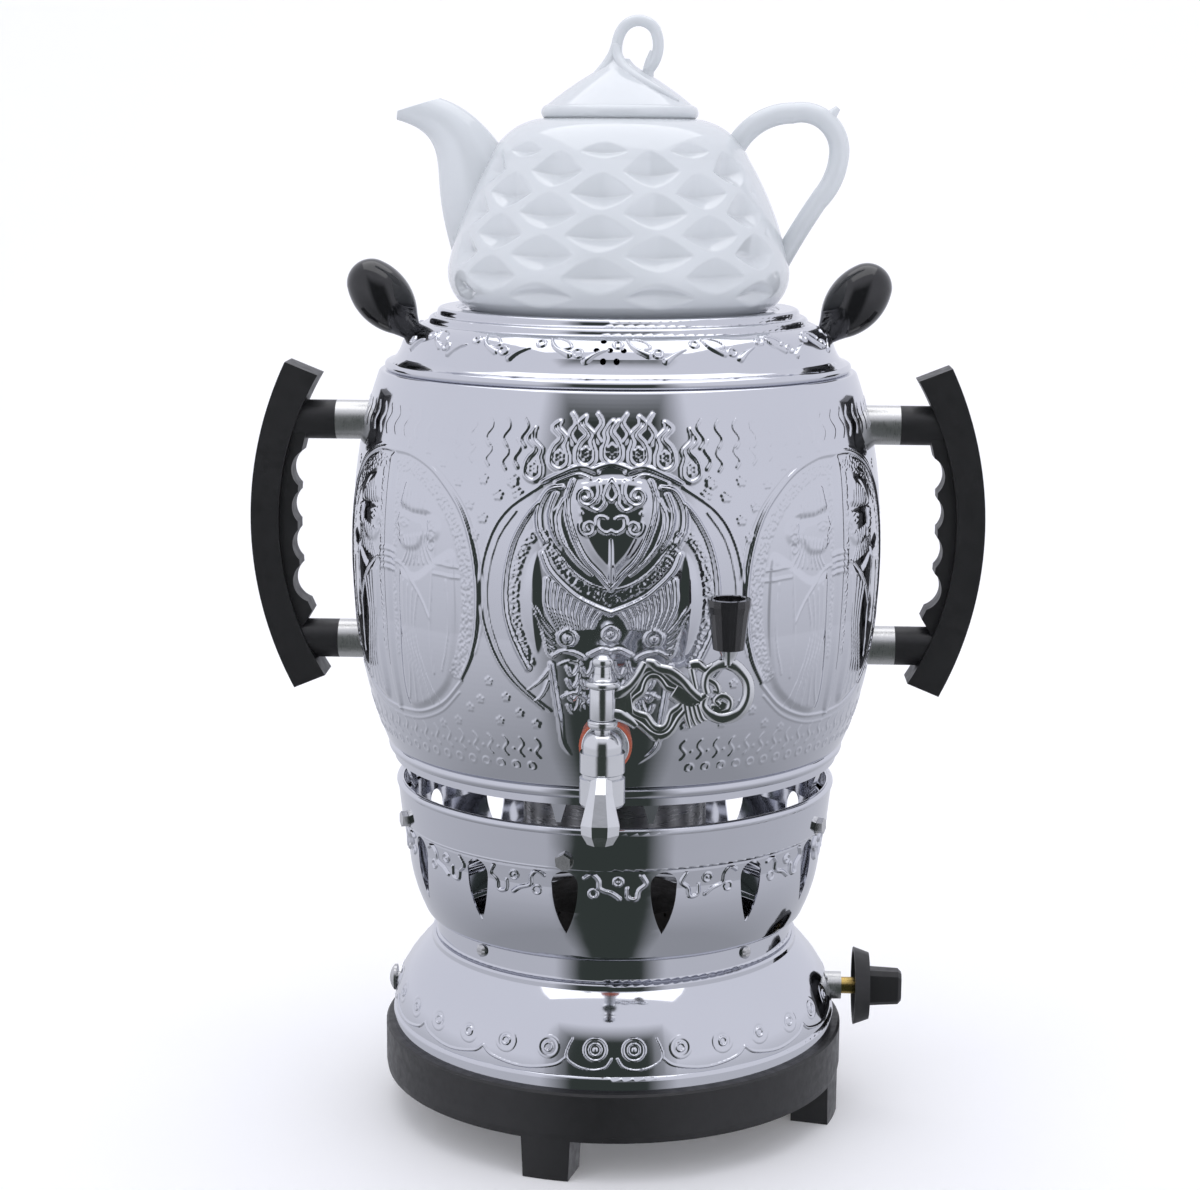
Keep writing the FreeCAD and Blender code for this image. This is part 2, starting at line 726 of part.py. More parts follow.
def tap_plug():
    # A tapered plug with a cross bore, and the stem that carries the lever.
    taper = cone(PLUG_R[0], PLUG_R[1], (0, TAP_Y, PLUG_Z[1]), (0, TAP_Y, PLUG_Z[0]))
    stem = rod(STEM_R, (0, TAP_Y, PLUG_Z[1]), (0, TAP_Y, 236.6))
    plug = taper.fuse(stem)
    return plug.cut(rod(2.6, (-9, TAP_Y, 196.4), (9, TAP_Y, 196.4)))


def tap_stem_ring():
    ring = turned_profile((STEM_R, 216.2), [
        (4.4, 216.2),
        ((6.1, 217.6), (6.1, 218.6)),
        ((6.1, 219.4), (5.4, HUB_Z[0])),
        (STEM_R, HUB_Z[0])])
    ring.translate(V(0, TAP_Y, 0))
    return ring


def tap_finial():
    # The cap screw that holds the lever down.
    finial = turned_profile((0, HUB_Z[1] + 3.0), [
        (STEM_R, HUB_Z[1] + 3.0),
        (STEM_R, HUB_Z[1]),
        (6.4, HUB_Z[1]),
        ((7.2, HUB_Z[1] + 1.4), (6.4, HUB_Z[1] + 2.6)),
        ((4.4, HUB_Z[1] + 3.6), (3.6, HUB_Z[1] + 6.0)),
        (3.3, HUB_Z[1] + 8.6),
        ((4.4, HUB_Z[1] + 10.6), (3.2, HUB_Z[1] + 12.4)),
        crown((3.2, HUB_Z[1] + 12.4), HUB_Z[1] + 13.8)])
    finial.translate(V(0, TAP_Y, 0))
    return finial


def flat_disc(radius, centre, thick):
    x, z = centre
    return rod(radius, (x, TAP_Y - thick / 2, z), (x, TAP_Y + thick / 2, z))


def flat_bar(points, thick):
    corners = [V(x, TAP_Y - thick / 2, z) for x, z in points]
    corners.append(corners[0])
    return drawn(Part.Face(Part.makePolygon(corners)), V(0, thick, 0))


def tap_lever():
    # A flat scroll casting: hub, four-lobed eye, scroll ring and the post for the knob.
    hub = tube(HUB_R, STEM_R, (0, TAP_Y, HUB_Z[0]), (0, TAP_Y, HUB_Z[1]))
    eye_x, eye_z = LEVER_EYE
    lobes = []
    windows = []
    for angle in (0, 90, 180, 270):
        way = math.radians(angle + 10)
        dx, dz = math.cos(way), math.sin(way)
        lobes.append(flat_disc(6.9, (eye_x + 4.8 * dx, eye_z + 5.6 * dz), LEVER_THICK))
        windows.append(flat_disc(4.2, (eye_x + 4.0 * dx, eye_z + 4.4 * dz), LEVER_THICK + 2))
    eye = lobes[0].fuse(lobes[1:]).cut(windows)
    root = flat_bar(((3.6, 221.5), (3.6, 233.0), (13.0, 233.4), (13.0, 223.0)), LEVER_THICK)
    crest = flat_bar(((13.0, 240.5), (17.5, 243.5), (36.0, 233.0), (36.0, 227.5),
                      (24.0, 238.0)), LEVER_THICK)
    link = flat_bar(((30.0, 223.5), (30.0, 233.5), (41.5, 230.5), (41.5, 225.0)), LEVER_THICK)
    scroll = flat_disc(10.4, LEVER_SCROLL, LEVER_THICK)
    scroll_hole = flat_disc(6.6, (LEVER_SCROLL[0] - 0.4, LEVER_SCROLL[1] + 0.6), LEVER_THICK + 2)
    curl = flat_disc(2.9, (LEVER_SCROLL[0] - 2.2, LEVER_SCROLL[1] - 5.0), LEVER_THICK)
    arm = flat_bar(((38.5, 237.0), (40.5, 245.0), (50.0, 248.0), (52.5, 241.0)), LEVER_THICK)
    window = flat_disc(2.2, (39.6, 237.4), LEVER_THICK + 2)
    post = rod(2.6, (LEVER_POST_X, TAP_Y, 240.5), (LEVER_POST_X, TAP_Y, LEVER_KNOB_Z[0]))
    post = post.fuse(rod(1.8, (LEVER_POST_X, TAP_Y, LEVER_KNOB_Z[0]),
                         (LEVER_POST_X, TAP_Y, LEVER_KNOB_Z[0] + 12)))
    seat = cone(3.0, 4.6, (LEVER_POST_X, TAP_Y, 245.4), (LEVER_POST_X, TAP_Y, LEVER_KNOB_Z[0]))
    lever = scroll.cut(scroll_hole).fuse([eye, root, crest, link, curl, arm])
    lever = lever.cut([window, rod(STEM_R, (0, TAP_Y, 210), (0, TAP_Y, 240))])
    return lever.fuse([hub, post, seat]).removeSplitter()


def tap_lever_knob():
    # A faceted cup of hard plastic with a sunken top.
    low, high = LEVER_KNOB_Z
    sections = []
    for z, radius in ((low, 6.4), (low + 15.0, 8.2), (low + 18.0, 8.9), (high, 8.9)):
        points = []
        for i in range(17):
            angle = 2 * math.pi * i / 16
            points.append(V(radius * math.cos(angle), radius * math.sin(angle), z))
        sections.append(Part.makePolygon(points))
    body = Part.makeLoft(sections, True, True)
    sink = Part.makeCylinder(6.6, 2.0, V(0, 0, high - 2.0))
    socket = Part.makeCylinder(1.8, 12.0, V(0, 0, low))
    knob = body.cut([sink, socket])
    knob.translate(V(LEVER_POST_X, TAP_Y, 0))
    return knob


# Samovar lid

def lid_steps():
    return [
        ((106.4, 351.9), (105.2, 353.8)),
        ((103.0, 354.6), (101.0, 356.2)),
        ((99.6, 358.6), (98.2, 362.2)),
        ((94.6, 367.2), (88.4, 371.0)),
        ((87.0, 371.2), (86.4, 372.4)),
        ((85.4, 374.0), (83.6, 374.4)),
        ((82.8, 374.8), (82.4, 376.0)),
        ((81.6, 377.6), (PLATE_R, PLATE_Z)),
        (74.5, PLATE_Z),
        ((73.4, 377.7), (73.0, SEAT_Z + 0.4)),
        (72.0, SEAT_Z),
        (58.0, SEAT_Z),
        (58.0, SEAT_Z - 4.0)]


def steam_holes():
    # Seven holes in a hexagonal cluster at the front of the dome.
    centre_r, centre_z, lean = 94.6, 364.6, 40.0
    holes = []
    for ring, count in ((0.0, 1), (HOLE_PITCH, 6)):
        for i in range(count):
            way = math.radians(60 * i)
            hole = Part.makeCylinder(HOLE_R, 12.0, V(ring * math.cos(way), ring * math.sin(way), -6))
            hole.rotate(V(0, 0, 0), ALONG_X, lean)
            hole.translate(V(0, -centre_r, centre_z))
            holes.append(hole)
    return holes


def lid_shell():
    dome = pressed_sheet((105.2, TANK_TOP), lid_steps())
    lip = turned_profile((LID_LIP_R, 343.0), [
        (LID_LIP_R, 351.4),
        (105.8, 351.4),
        (105.8, 350.9),
        (104.6, TANK_TOP),
        (LID_LIP_R - GAUGE, TANK_TOP),
        (LID_LIP_R - GAUGE, 343.0)])
    return dome.fuse(lip)


def lid(shell):
    root_x, root_z = KNOB_ROOT
    bolt_holes = []
    for side in (-1, 1):
        way = V(side * math.sin(math.radians(KNOB_TILT)), 0, math.cos(math.radians(KNOB_TILT)))
        start = V(side * root_x, 0, root_z).sub(way * 10)
        bolt_holes.append(Part.makeCylinder(2.0, 20.0, start, way))
    return shell.cut(steam_holes() + bolt_holes)


def lid_knob():
    # An egg with its narrow end down, its root on the origin.
    egg = turned_profile((0, 0), [
        (4.6, 0),
        ((5.6, 2.0), (7.6, 5.4)),
        ((KNOB_R, 20.5), (9.4, KNOB_LENGTH - 5.0)),
        crown((9.4, KNOB_LENGTH - 5.0), KNOB_LENGTH)])
    return egg.cut(Part.makeCylinder(2.0, 14.0))


def placed_on_lid(shape, side):
    copy = shape.copy()
    copy.rotate(V(0, 0, 0), ALONG_Y, side * KNOB_TILT)
    copy.translate(V(side * KNOB_ROOT[0], 0, KNOB_ROOT[1]))
    return copy


def lid_core():
    # The space under the dome's outer side, for seating the knobs.
    return turned_profile((0, TANK_TOP), [(105.2, TANK_TOP)] + lid_steps()[:-1] + [(0, SEAT_Z)])


def lid_knob_bolts(shell):
    # Each head is cut to the dome's inner side.
    bolts = []
    for side in (-1, 1):
        blank = placed_on_lid(Part.makeCylinder(4.4, 12.0, V(0, 0, -3.6)), side)
        pieces = blank.cut(shell).Solids
        head = min(pieces, key=lambda piece: piece.CenterOfMass.z)
        shank = placed_on_lid(Part.makeCylinder(2.0, 17.6, V(0, 0, -3.6)), side)
        bolts.append(head.fuse(shank))
    return group(bolts)


# Teapot

def pot_outer():
    return turned_profile((0, POT_BASE_Z + 0.8), [
        (62.0, POT_BASE_Z + 0.8),
        (62.0, POT_BASE_Z),
        (67.0, POT_BASE_Z),
        ((74.6, 383.4), (77.4, 396.0)),
        ((71.2, 418.0), (58.4, 444.6)),
        ((51.6, 454.4), (POT_MOUTH_R + 1.6, POT_SEAT_Z)),
        (0, POT_SEAT_Z)])


def pot_inner():
    return turned_profile((0, POT_FLOOR_Z), [
        (64.0, POT_FLOOR_Z),
        ((71.0, 387.4), (73.6, 396.4)),
        ((67.6, 416.6), (55.2, 442.6)),
        ((48.6, 450.6), (36.0, 457.0)),
        (30.0, 458.2),
        (30.0, POT_SEAT_Z + 2),
        (0, POT_SEAT_Z + 2)])


def oval_wire(centre, half_up, half_wide, lean):
    # A cross-section of the spout: lean is the way it faces, from straight up towards -X.
    across = V(math.cos(math.radians(lean)), 0, math.sin(math.radians(lean)))
    spot = V(centre[0], 0, centre[1])
    if half_up >= half_wide:
        ellipse = Part.Ellipse(spot.add(across * half_up), spot.add(ALONG_Y * half_wide), spot)
    else:
        ellipse = Part.Ellipse(spot.add(ALONG_Y * half_wide), spot.add(across * half_up), spot)
    return Part.Wire([ellipse.toShape()])


def spout_loft(shrink):
    rows = (
        ((-55.0, 406.0), 22.0, 15.0, 30.0),
        ((-61.0, 424.0), 20.5, 15.5, 28.0),
        ((-66.5, 439.0), 17.0, 13.5, 28.0),
        ((-71.5, 450.0), 13.4, 11.0, 36.0),
        ((-78.5, 459.0), 10.2, 8.8, 50.0),
        ((-88.0, 464.6), 8.0, 7.6, 66.0),
        ((-99.0, 467.6), 6.8, 6.4, 76.0))
    wires = []
    for centre, up, wide, lean in rows:
        wires.append(oval_wire(centre, up - shrink, wide - shrink, lean))
    return Part.makeLoft(wires, True, False)


def pot_handle():
    # An ear of round section, with a small thumb peak.
    start = V(52.0, 0, 449.5)
    edges = [
        Part.Arc(start, V(62.0, 0, 460.6), V(78.0, 0, 465.2)).toShape(),
        Part.Arc(V(78.0, 0, 465.2), V(94.0, 0, 460.4), V(98.8, 0, 446.4)).toShape(),
        Part.Arc(V(98.8, 0, 446.4), V(96.4, 0, 436.4), V(90.6, 0, 427.2)).toShape(),
        Part.Arc(V(90.6, 0, 427.2), V(80.6, 0, 411.4), V(71.5, 0, 395.0)).toShape()]
    path = Part.Wire(edges)
    section = Part.Wire([Part.makeCircle(4.7, start, edges[0].tangentAt(edges[0].FirstParameter))])
    ear = path.makePipeShell([section], True, False)
    peak = cone(4.2, 1.2, (91.5, 0, 460.5), (98.0, 0, 467.6))
    return ear.fuse(peak)


def pot_wall():
    seat = turned_profile((0, POT_SEAT_Z - 2.0), [
        (POT_MOUTH_R - 0.4, POT_SEAT_Z - 2.0),
        (POT_MOUTH_R, POT_SEAT_Z + 2),
        (0, POT_SEAT_Z + 2)])
    return pot_outer().cut([pot_inner(), seat, spout_loft(SPOUT_WALL)])


def pot_stretch(low, high):
    # The pot's wall between two heights.
    return pot_wall().common(Part.makeBox(200, 200, high - low, V(-100, -100, low)))


def teapot_foot():
    return pot_stretch(POT_BASE_Z - 1.0, POT_FLOOR_Z)


def teapot_body():
    return pot_stretch(POT_FLOOR_Z, POT_SEAM_Z)


def teapot_shoulder():
    # The upper stretch of the pot's wall, with the mouth that the lid sits in.
    return pot_stretch(POT_SEAM_Z, POT_SEAT_Z + 1.0)


def teapot_spout():
    outside = spout_loft(0.0).cut([pot_spout_cut(), pot_outer()])
    return outside.cut(spout_loft(SPOUT_WALL))


def teapot_handle():
    return pot_handle().cut(pot_outer())


def pot_spout_cut():
    # The mouth is cut on a slant, so that the lip below it reaches furthest.
    box = Part.makeBox(60, 40, 40, V(-60, -20, 0))
    box.rotate(V(0, 0, 0), ALONG_Y, -17.0)
    box.translate(V(-76.0, 0, 472.2))
    return box


def teapot_lid():
    cover = turned_profile((0, POT_SEAT_Z - 2.0), [
        (POT_MOUTH_R - 1.0, POT_SEAT_Z - 2.0),
        (POT_MOUTH_R - 0.6, POT_SEAT_Z + 0.3),
        ((35.4, POT_SEAT_Z + 2.4), (32.6, POT_SEAT_Z + 6.2)),
        ((19.6, 477.8), (9.6, 483.8)),
        ((6.2, 486.2), (4.2, POT_LID_TOP)),
        (0, POT_LID_TOP)])
    hollow = turned_profile((0, POT_SEAT_Z - 2.0), [
        (26.0, POT_SEAT_Z - 2.0),
        (26.0, POT_SEAT_Z + 2.0),
        ((15.0, 474.0), (3.0, 479.0)),
        (0, 479.0)])
    flange = tube(29.2, 26.0, (0, 0, POT_SEAT_Z - 12.0), (0, 0, POT_SEAT_Z - 2.0))
    loop = finial_loop()
    lid_body = cover.cut(hollow).fuse([flange, loop])
    return lid_body.removeSplitter()


def finial_loop():
    # One tendril that rises from the cone's tip and turns back on itself.
    points = [(0.6, 484.6), (-1.6, 494.0), (0.8, 501.4), (8.6, 505.4), (15.6, 501.2),
              (17.0, 493.6), (12.2, 483.4)]
    edges = [
        arc_in_plane(points[0], points[1], points[2]),
        arc_in_plane(points[2], points[3], points[4]),
        arc_in_plane(points[4], points[5], points[6])]
    path = Part.Wire(edges)
    start = V(points[0][0], 0, points[0][1])
    section = Part.Wire([Part.makeCircle(2.5, start, edges[0].tangentAt(edges[0].FirstParameter))])
    return path.makePipeShell([section], True, False)


def arc_in_plane(start, middle, end):
    points = [V(x, 0, z) for x, z in (start, middle, end)]
    return Part.Arc(*points).toShape()


def build():
    os.makedirs("parts", exist_ok=True)
    save("base_ring", base_ring())
    save("base_skirt", base_skirt())
    save("neck_screws", neck_screws())
    save("gas_valve", gas_valve())
    save("valve_collar", valve_collar())
    save("gas_inlet_tail", gas_inlet_tail())
    save("gas_stem", gas_stem())
    save("gas_knob", gas_knob())
    save("burner_body", burner_body())
    save("burner_cap", burner_cap())
    save("burner_support_rod", burner_support_rod())
    save("support_rod_bolt", support_rod_bolt())
    save("fire_bowl", fire_bowl())
    save("bowl_band", bowl_band())
    save("band_bolts", band_bolts())
    save("tank_struts", tank_struts())
    save("tank_tabs", tank_tabs())
    save("tank_ring", tank_ring())
    save("tank_bottom", tank_bottom())
    save("flame_skirt", flame_skirt())
    save("tank_shell", tank_shell())
    right_grip = grip()
    save("right_grip", right_grip)
    save("left_grip", mirrored(right_grip))
    for name, z in (("lower", HANDLE_LOW_Z), ("upper", HANDLE_HIGH_Z)):
        right_spacer = spacer(z)
        save("right_" + name + "_spacer", right_spacer)
        save("left_" + name + "_spacer", mirrored(right_spacer))
    save("handle_studs", handle_studs())
    save("handle_nuts", handle_nuts())
    save("tap_body", tap_body())
    save("tap_outer_seal", tap_outer_seal())
    save("tap_inner_seal", tap_inner_seal())
    save("tap_locknut", tap_locknut())
    save("tap_bonnet", tap_bonnet())
    save("tap_plug", tap_plug())
    save("tap_stem_ring", tap_stem_ring())
    save("tap_finial", tap_finial())
    save("tap_lever", tap_lever())
    save("tap_lever_knob", tap_lever_knob())
    shell = lid_shell()
    save("lid", lid(shell))
    knob = lid_knob()
    save("left_lid_knob", placed_on_lid(knob, -1).cut(lid_core()))
    save("right_lid_knob", placed_on_lid(knob, 1).cut(lid_core()))
    save("lid_knob_bolts", lid_knob_bolts(shell))
    save("teapot_foot", teapot_foot())
    save("teapot_body", teapot_body())
    save("teapot_shoulder", teapot_shoulder())
    save("teapot_spout", teapot_spout())
    save("teapot_handle", teapot_handle())
    save("teapot_lid", teapot_lid())


build()
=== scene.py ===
import math
import bpy
import numpy as np
from mathutils import Matrix
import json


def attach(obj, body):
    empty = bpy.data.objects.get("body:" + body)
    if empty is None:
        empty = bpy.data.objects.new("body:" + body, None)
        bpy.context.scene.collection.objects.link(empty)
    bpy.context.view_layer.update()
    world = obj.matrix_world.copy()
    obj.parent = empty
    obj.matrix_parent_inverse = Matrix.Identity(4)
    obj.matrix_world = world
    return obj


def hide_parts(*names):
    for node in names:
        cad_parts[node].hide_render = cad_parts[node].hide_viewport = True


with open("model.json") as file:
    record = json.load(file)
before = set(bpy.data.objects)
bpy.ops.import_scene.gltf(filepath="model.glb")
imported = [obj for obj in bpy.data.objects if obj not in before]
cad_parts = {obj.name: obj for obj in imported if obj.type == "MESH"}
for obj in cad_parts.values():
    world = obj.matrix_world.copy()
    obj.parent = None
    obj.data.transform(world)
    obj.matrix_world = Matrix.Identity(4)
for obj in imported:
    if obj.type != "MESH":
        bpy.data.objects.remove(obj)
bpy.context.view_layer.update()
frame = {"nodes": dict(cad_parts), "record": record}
NODES = frame["nodes"]

MM = 0.001
TAP_Y = -150.0
TAP_Z = 201.0                       # height of the tap's seat on the tank
BACK = 180.0                        # degrees from the front ornament to its repeat


# Materials

def new_material(name):
    material = bpy.data.materials.new(name)
    material.use_nodes = True
    tree = material.node_tree
    tree.nodes.clear()
    out = tree.nodes.new("ShaderNodeOutputMaterial")
    shader = tree.nodes.new("ShaderNodeBsdfPrincipled")
    tree.links.new(shader.outputs["BSDF"], out.inputs["Surface"])
    return material, tree, shader


def noise(tree, scale, detail=4.0, stretch=(1, 1, 1)):
    where = tree.nodes.new("ShaderNodeTexCoord")
    spread = tree.nodes.new("ShaderNodeMapping")
    spread.inputs["Scale"].default_value = stretch
    tree.links.new(where.outputs["Object"], spread.inputs["Vector"])
    grain = tree.nodes.new("ShaderNodeTexNoise")
    grain.inputs["Scale"].default_value = scale
    grain.inputs["Detail"].default_value = detail
    grain.inputs["Roughness"].default_value = 0.55
    tree.links.new(spread.outputs["Vector"], grain.inputs["Vector"])
    return grain.outputs["Fac"]


def ramp(tree, value, low, high, from_low=0.3, from_high=0.7):
    node = tree.nodes.new("ShaderNodeMapRange")
    node.inputs["From Min"].default_value = from_low
    node.inputs["From Max"].default_value = from_high
    node.inputs["To Min"].default_value = low
    node.inputs["To Max"].default_value = high
    tree.links.new(value, node.inputs["Value"])
    return node.outputs["Result"]


def tint(tree, value, dark, light):
    node = tree.nodes.new("ShaderNodeMix")
    node.data_type = "RGBA"
    node.inputs[6].default_value = dark + (1,)
    node.inputs[7].default_value = light + (1,)
    tree.links.new(value, node.inputs["Factor"])
    return node.outputs[2]


def bump(tree, shader, value, strength, distance):
    node = tree.nodes.new("ShaderNodeBump")
    node.inputs["Strength"].default_value = strength
    node.inputs["Distance"].default_value = distance
    tree.links.new(value, node.inputs["Height"])
    tree.links.new(node.outputs["Normal"], shader.inputs["Normal"])


def finish_material(name, dark, light, metal, rough, wear, grain, bumps, coat=0.0):
    # A base colour that drifts between dark and light. Fine grain, a scale and a stretch, varies
    # the roughness between its two values. Bumps are a scale, a strength and a distance.
    material, tree, shader = new_material(name)
    patch = noise(tree, wear)
    tree.links.new(tint(tree, patch, dark, light), shader.inputs["Base Color"])
    shader.inputs["Metallic"].default_value = metal
    fine = noise(tree, grain[0], 5.0, grain[1])
    tree.links.new(ramp(tree, fine, rough[0], rough[1]), shader.inputs["Roughness"])
    bump(tree, shader, noise(tree, bumps[0], 3.0, grain[1]), bumps[1], bumps[2])
    shader.inputs["Coat Weight"].default_value = coat
    return material


EVEN = (1, 1, 1)
MATERIALS = {
    "chrome": finish_material("chrome", (0.60, 0.61, 0.66), (0.67, 0.68, 0.72), 1.0,
                              (0.05, 0.10), 9.0, (60.0, EVEN), (14.0, 0.25, 0.0006)),
    "tap_chrome": finish_material("tap_chrome", (0.66, 0.67, 0.69), (0.75, 0.76, 0.78), 1.0,
                                  (0.10, 0.22), 30.0, (160.0, EVEN), (260.0, 0.12, 0.0003)),
    "brushed_steel": finish_material("brushed_steel", (0.40, 0.40, 0.41), (0.56, 0.56, 0.57), 1.0,
                                     (0.22, 0.38), 14.0, (90.0, (1, 1, 12)), (300.0, 0.2, 0.0002)),
    "plain_steel": finish_material("plain_steel", (0.50, 0.50, 0.50), (0.63, 0.63, 0.64), 1.0,
                                   (0.16, 0.32), 60.0, (300.0, EVEN), (400.0, 0.15, 0.0002)),
    "aluminium": finish_material("aluminium", (0.62, 0.62, 0.61), (0.74, 0.74, 0.73), 1.0,
                                 (0.24, 0.40), 40.0, (260.0, (20, 1, 1)), (500.0, 0.2, 0.0002)),
    "brass": finish_material("brass", (0.45, 0.30, 0.08), (0.70, 0.52, 0.20), 1.0,
                             (0.18, 0.36), 70.0, (300.0, EVEN), (500.0, 0.2, 0.0002)),
    "cast_iron": finish_material("cast_iron", (0.05, 0.048, 0.045), (0.14, 0.13, 0.12), 0.9,
                                 (0.5, 0.8), 50.0, (200.0, EVEN), (420.0, 0.5, 0.0006)),
    "black_plastic": finish_material("black_plastic", (0.010, 0.010, 0.011), (0.020, 0.020, 0.021),
                                     0.0, (0.34, 0.52), 26.0, (220.0, EVEN), (700.0, 0.2, 0.0002)),
    "gloss_black": finish_material("gloss_black", (0.006, 0.006, 0.007), (0.012, 0.012, 0.013), 0.0,
                                   (0.05, 0.14), 20.0, (120.0, EVEN), (60.0, 0.10, 0.0003), 0.3),
    "red_silicone": finish_material("red_silicone", (0.42, 0.08, 0.04), (0.60, 0.16, 0.09), 0.0,
                                    (0.40, 0.60), 60.0, (300.0, EVEN), (500.0, 0.2, 0.0002)),
    "porcelain": finish_material("porcelain", (0.60, 0.63, 0.655), (0.65, 0.68, 0.70), 0.0,
                                 (0.06, 0.11), 12.0, (60.0, EVEN), (16.0, 0.15, 0.0004), 0.6),
}
SLOTS = {entry["node"]: entry["material_slot"] for entry in frame["record"]["subparts"]}


def dress(obj, slot, body, *replaced):
    # Gives a new piece its finish and its body, and hides the CAD nodes that it replaces.
    obj.data.materials.clear()
    obj.data.materials.append(MATERIALS[slot])
    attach(obj, body)
    if replaced:
        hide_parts(*replaced)


for node_name, node in NODES.items():
    node.data.materials.clear()
    node.data.materials.append(MATERIALS[SLOTS[node_name]])


# Relief: ornament is drawn on a flat canvas in millimetres, then wrapped on a turned skin


def smooth_path(points, steps=8):
    # A curve through the points (Catmull-Rom).
    pts = np.array([points[0]] + list(points) + [points[-1]], float)
    out = []
    for a, b, c, d in zip(pts, pts[1:], pts[2:], pts[3:]):
        t = np.linspace(0, 1, steps, endpoint=False)[:, None]
        out.append(0.5 * (2 * b + (c - a) * t + (2 * a - 5 * b + 4 * c - d) * t ** 2
                          + (3 * b - a - 3 * c + d) * t ** 3))
    return np.vstack(out + [pts[-1:]])


class Canvas:
    # Heights in millimetres on a grid of cells. Its left and right edges meet round the back.
    def __init__(self, low, high, cell):
        self.low, self.cell = np.array(low, float), cell
        self.cols = int(round((high[0] - low[0]) / cell))
        self.rows = int(round((high[1] - low[1]) / cell)) + 1
        self.body = np.zeros((self.rows, self.cols))
        self.ridge = np.zeros((self.rows, self.cols))
        self.grain = np.zeros((self.rows, self.cols))

    def window(self, points, margin):
        # The cells round the points: their indices, and their places as two grids.
        lo, hi = points.min(0) - margin, points.max(0) + margin
        c0, c1 = (int(math.floor((v - self.low[0]) / self.cell)) for v in (lo[0], hi[0]))
        r0, r1 = (int(math.floor((v - self.low[1]) / self.cell)) for v in (lo[1], hi[1]))
        cols = np.arange(c0, c1 + 2)
        rows = np.arange(max(r0, 0), min(r1 + 2, self.rows))
        x = self.low[0] + cols * self.cell
        y = self.low[1] + rows * self.cell
        return np.ix_(rows, cols % self.cols), np.meshgrid(x, y)

    def distance(self, points, grid):
        # How far each cell lies from the path, and how far along the path, from 0 to 1.
        gx, gy = grid
        best = np.full(gx.shape, 1e9)
        along = np.zeros(gx.shape)
        lengths = np.hypot(*(points[1:] - points[:-1]).T)
        total, done = lengths.sum() + 1e-9, 0.0
        for p, q, length in zip(points[:-1], points[1:], lengths):
            d = q - p
            t = np.clip(((gx - p[0]) * d[0] + (gy - p[1]) * d[1]) / (d @ d + 1e-9), 0, 1)
            far = np.hypot(gx - p[0] - t * d[0], gy - p[1] - t * d[1])
            near = far < best
            best = np.where(near, far, best)
            along = np.where(near, (done + t * length) / total, along)
            done += length
        return best, along

    def stroke(self, points, width, height, taper=(1, 1)):
        # A rounded ridge along a path, whose width may change from one end to the other.
        where, grid = self.window(points, width)
        far, along = self.distance(points, grid)
        local = width / 2 * (taper[0] + (taper[1] - taper[0]) * along)
        shape = height * np.clip(1 - (far / np.maximum(local, 1e-3)) ** 2, 0, 1)
        self.ridge[where] = np.maximum(self.ridge[where], shape)

    def ring(self, centre, radius, width, height):
        turn = np.radians(np.linspace(0, 360, 20))
        path = np.column_stack([centre[0] + radius * np.cos(turn), centre[1] + radius * np.sin(turn)])
        self.stroke(path, width, height)

    def dot(self, centre, radius, height):
        where, (gx, gy) = self.window(np.array([centre], float), radius)
        far = np.hypot(gx - centre[0], gy - centre[1]) / radius
        shape = height * np.sqrt(np.clip(1 - far ** 2, 0, 1))
        self.ridge[where] = np.maximum(self.ridge[where], shape)

    def inside(self, outline, grid):
        gx, gy = grid
        odd = np.zeros(gx.shape, bool)
        for p, q in zip(outline, np.roll(outline, -1, axis=0)):
            cross = (p[1] > gy) != (q[1] > gy)
            slope = (q[0] - p[0]) / (q[1] - p[1] + 1e-12)
            odd ^= cross & (gx < p[0] + slope * (gy - p[1]))
        return odd

    def pillow(self, outline, height, edge):
        # A raised field that rises from its outline over the edge's width.
        where, grid = self.window(outline, 1.0)
        far, _ = self.distance(np.vstack([outline, outline[:1]]), grid)
        rise = np.clip(far / edge, 0, 1)
        rise = rise * rise * (3 - 2 * rise)
        self.body[where] += np.where(self.inside(outline, grid), height * rise, 0)

    def stipple(self, points, width, height):
        # A matted band: little grains along a path, moved off an even pitch by a hash of their place.
        pitch = 1.35
        where, (gx, gy) = self.window(points, width)
        far, _ = self.distance(points, (gx, gy))
        pits = np.zeros(gx.shape)
        for i in range(-1, 2):
            for j in range(-1, 2):
                cx, cy = np.floor(gx / pitch) + i, np.floor(gy / pitch) + j
                jx = np.mod(np.sin(cx * 12.9898 + cy * 78.233) * 43758.5453, 1)
                jy = np.mod(np.sin(cx * 39.346 + cy * 11.135) * 24634.6345, 1)
                gap = np.hypot(gx - (cx + jx) * pitch, gy - (cy + jy) * pitch)
                pits = np.maximum(pits, np.clip(1 - (gap / (0.62 * pitch)) ** 2, 0, 1))
        mask = np.clip((width / 2 - far) / 0.5, 0, 1)
        self.grain[where] = np.maximum(self.grain[where], mask * pits * height)

    def height(self, x, y):
        # The drawn height at places between the cells.
        total = self.body + self.ridge + self.grain
        fx = (np.asarray(x) - self.low[0]) / self.cell
        fy = np.clip((np.asarray(y) - self.low[1]) / self.cell, 0, self.rows - 1.001)
        c0, r0 = np.floor(fx).astype(int), np.floor(fy).astype(int)
        tx, ty = fx - c0, fy - r0
        c0, c1 = c0 % self.cols, (c0 + 1) % self.cols
        return ((total[r0, c0] * (1 - tx) + total[r0, c1] * tx) * (1 - ty)
                + (total[r0 + 1, c0] * (1 - tx) + total[r0 + 1, c1] * tx) * ty)


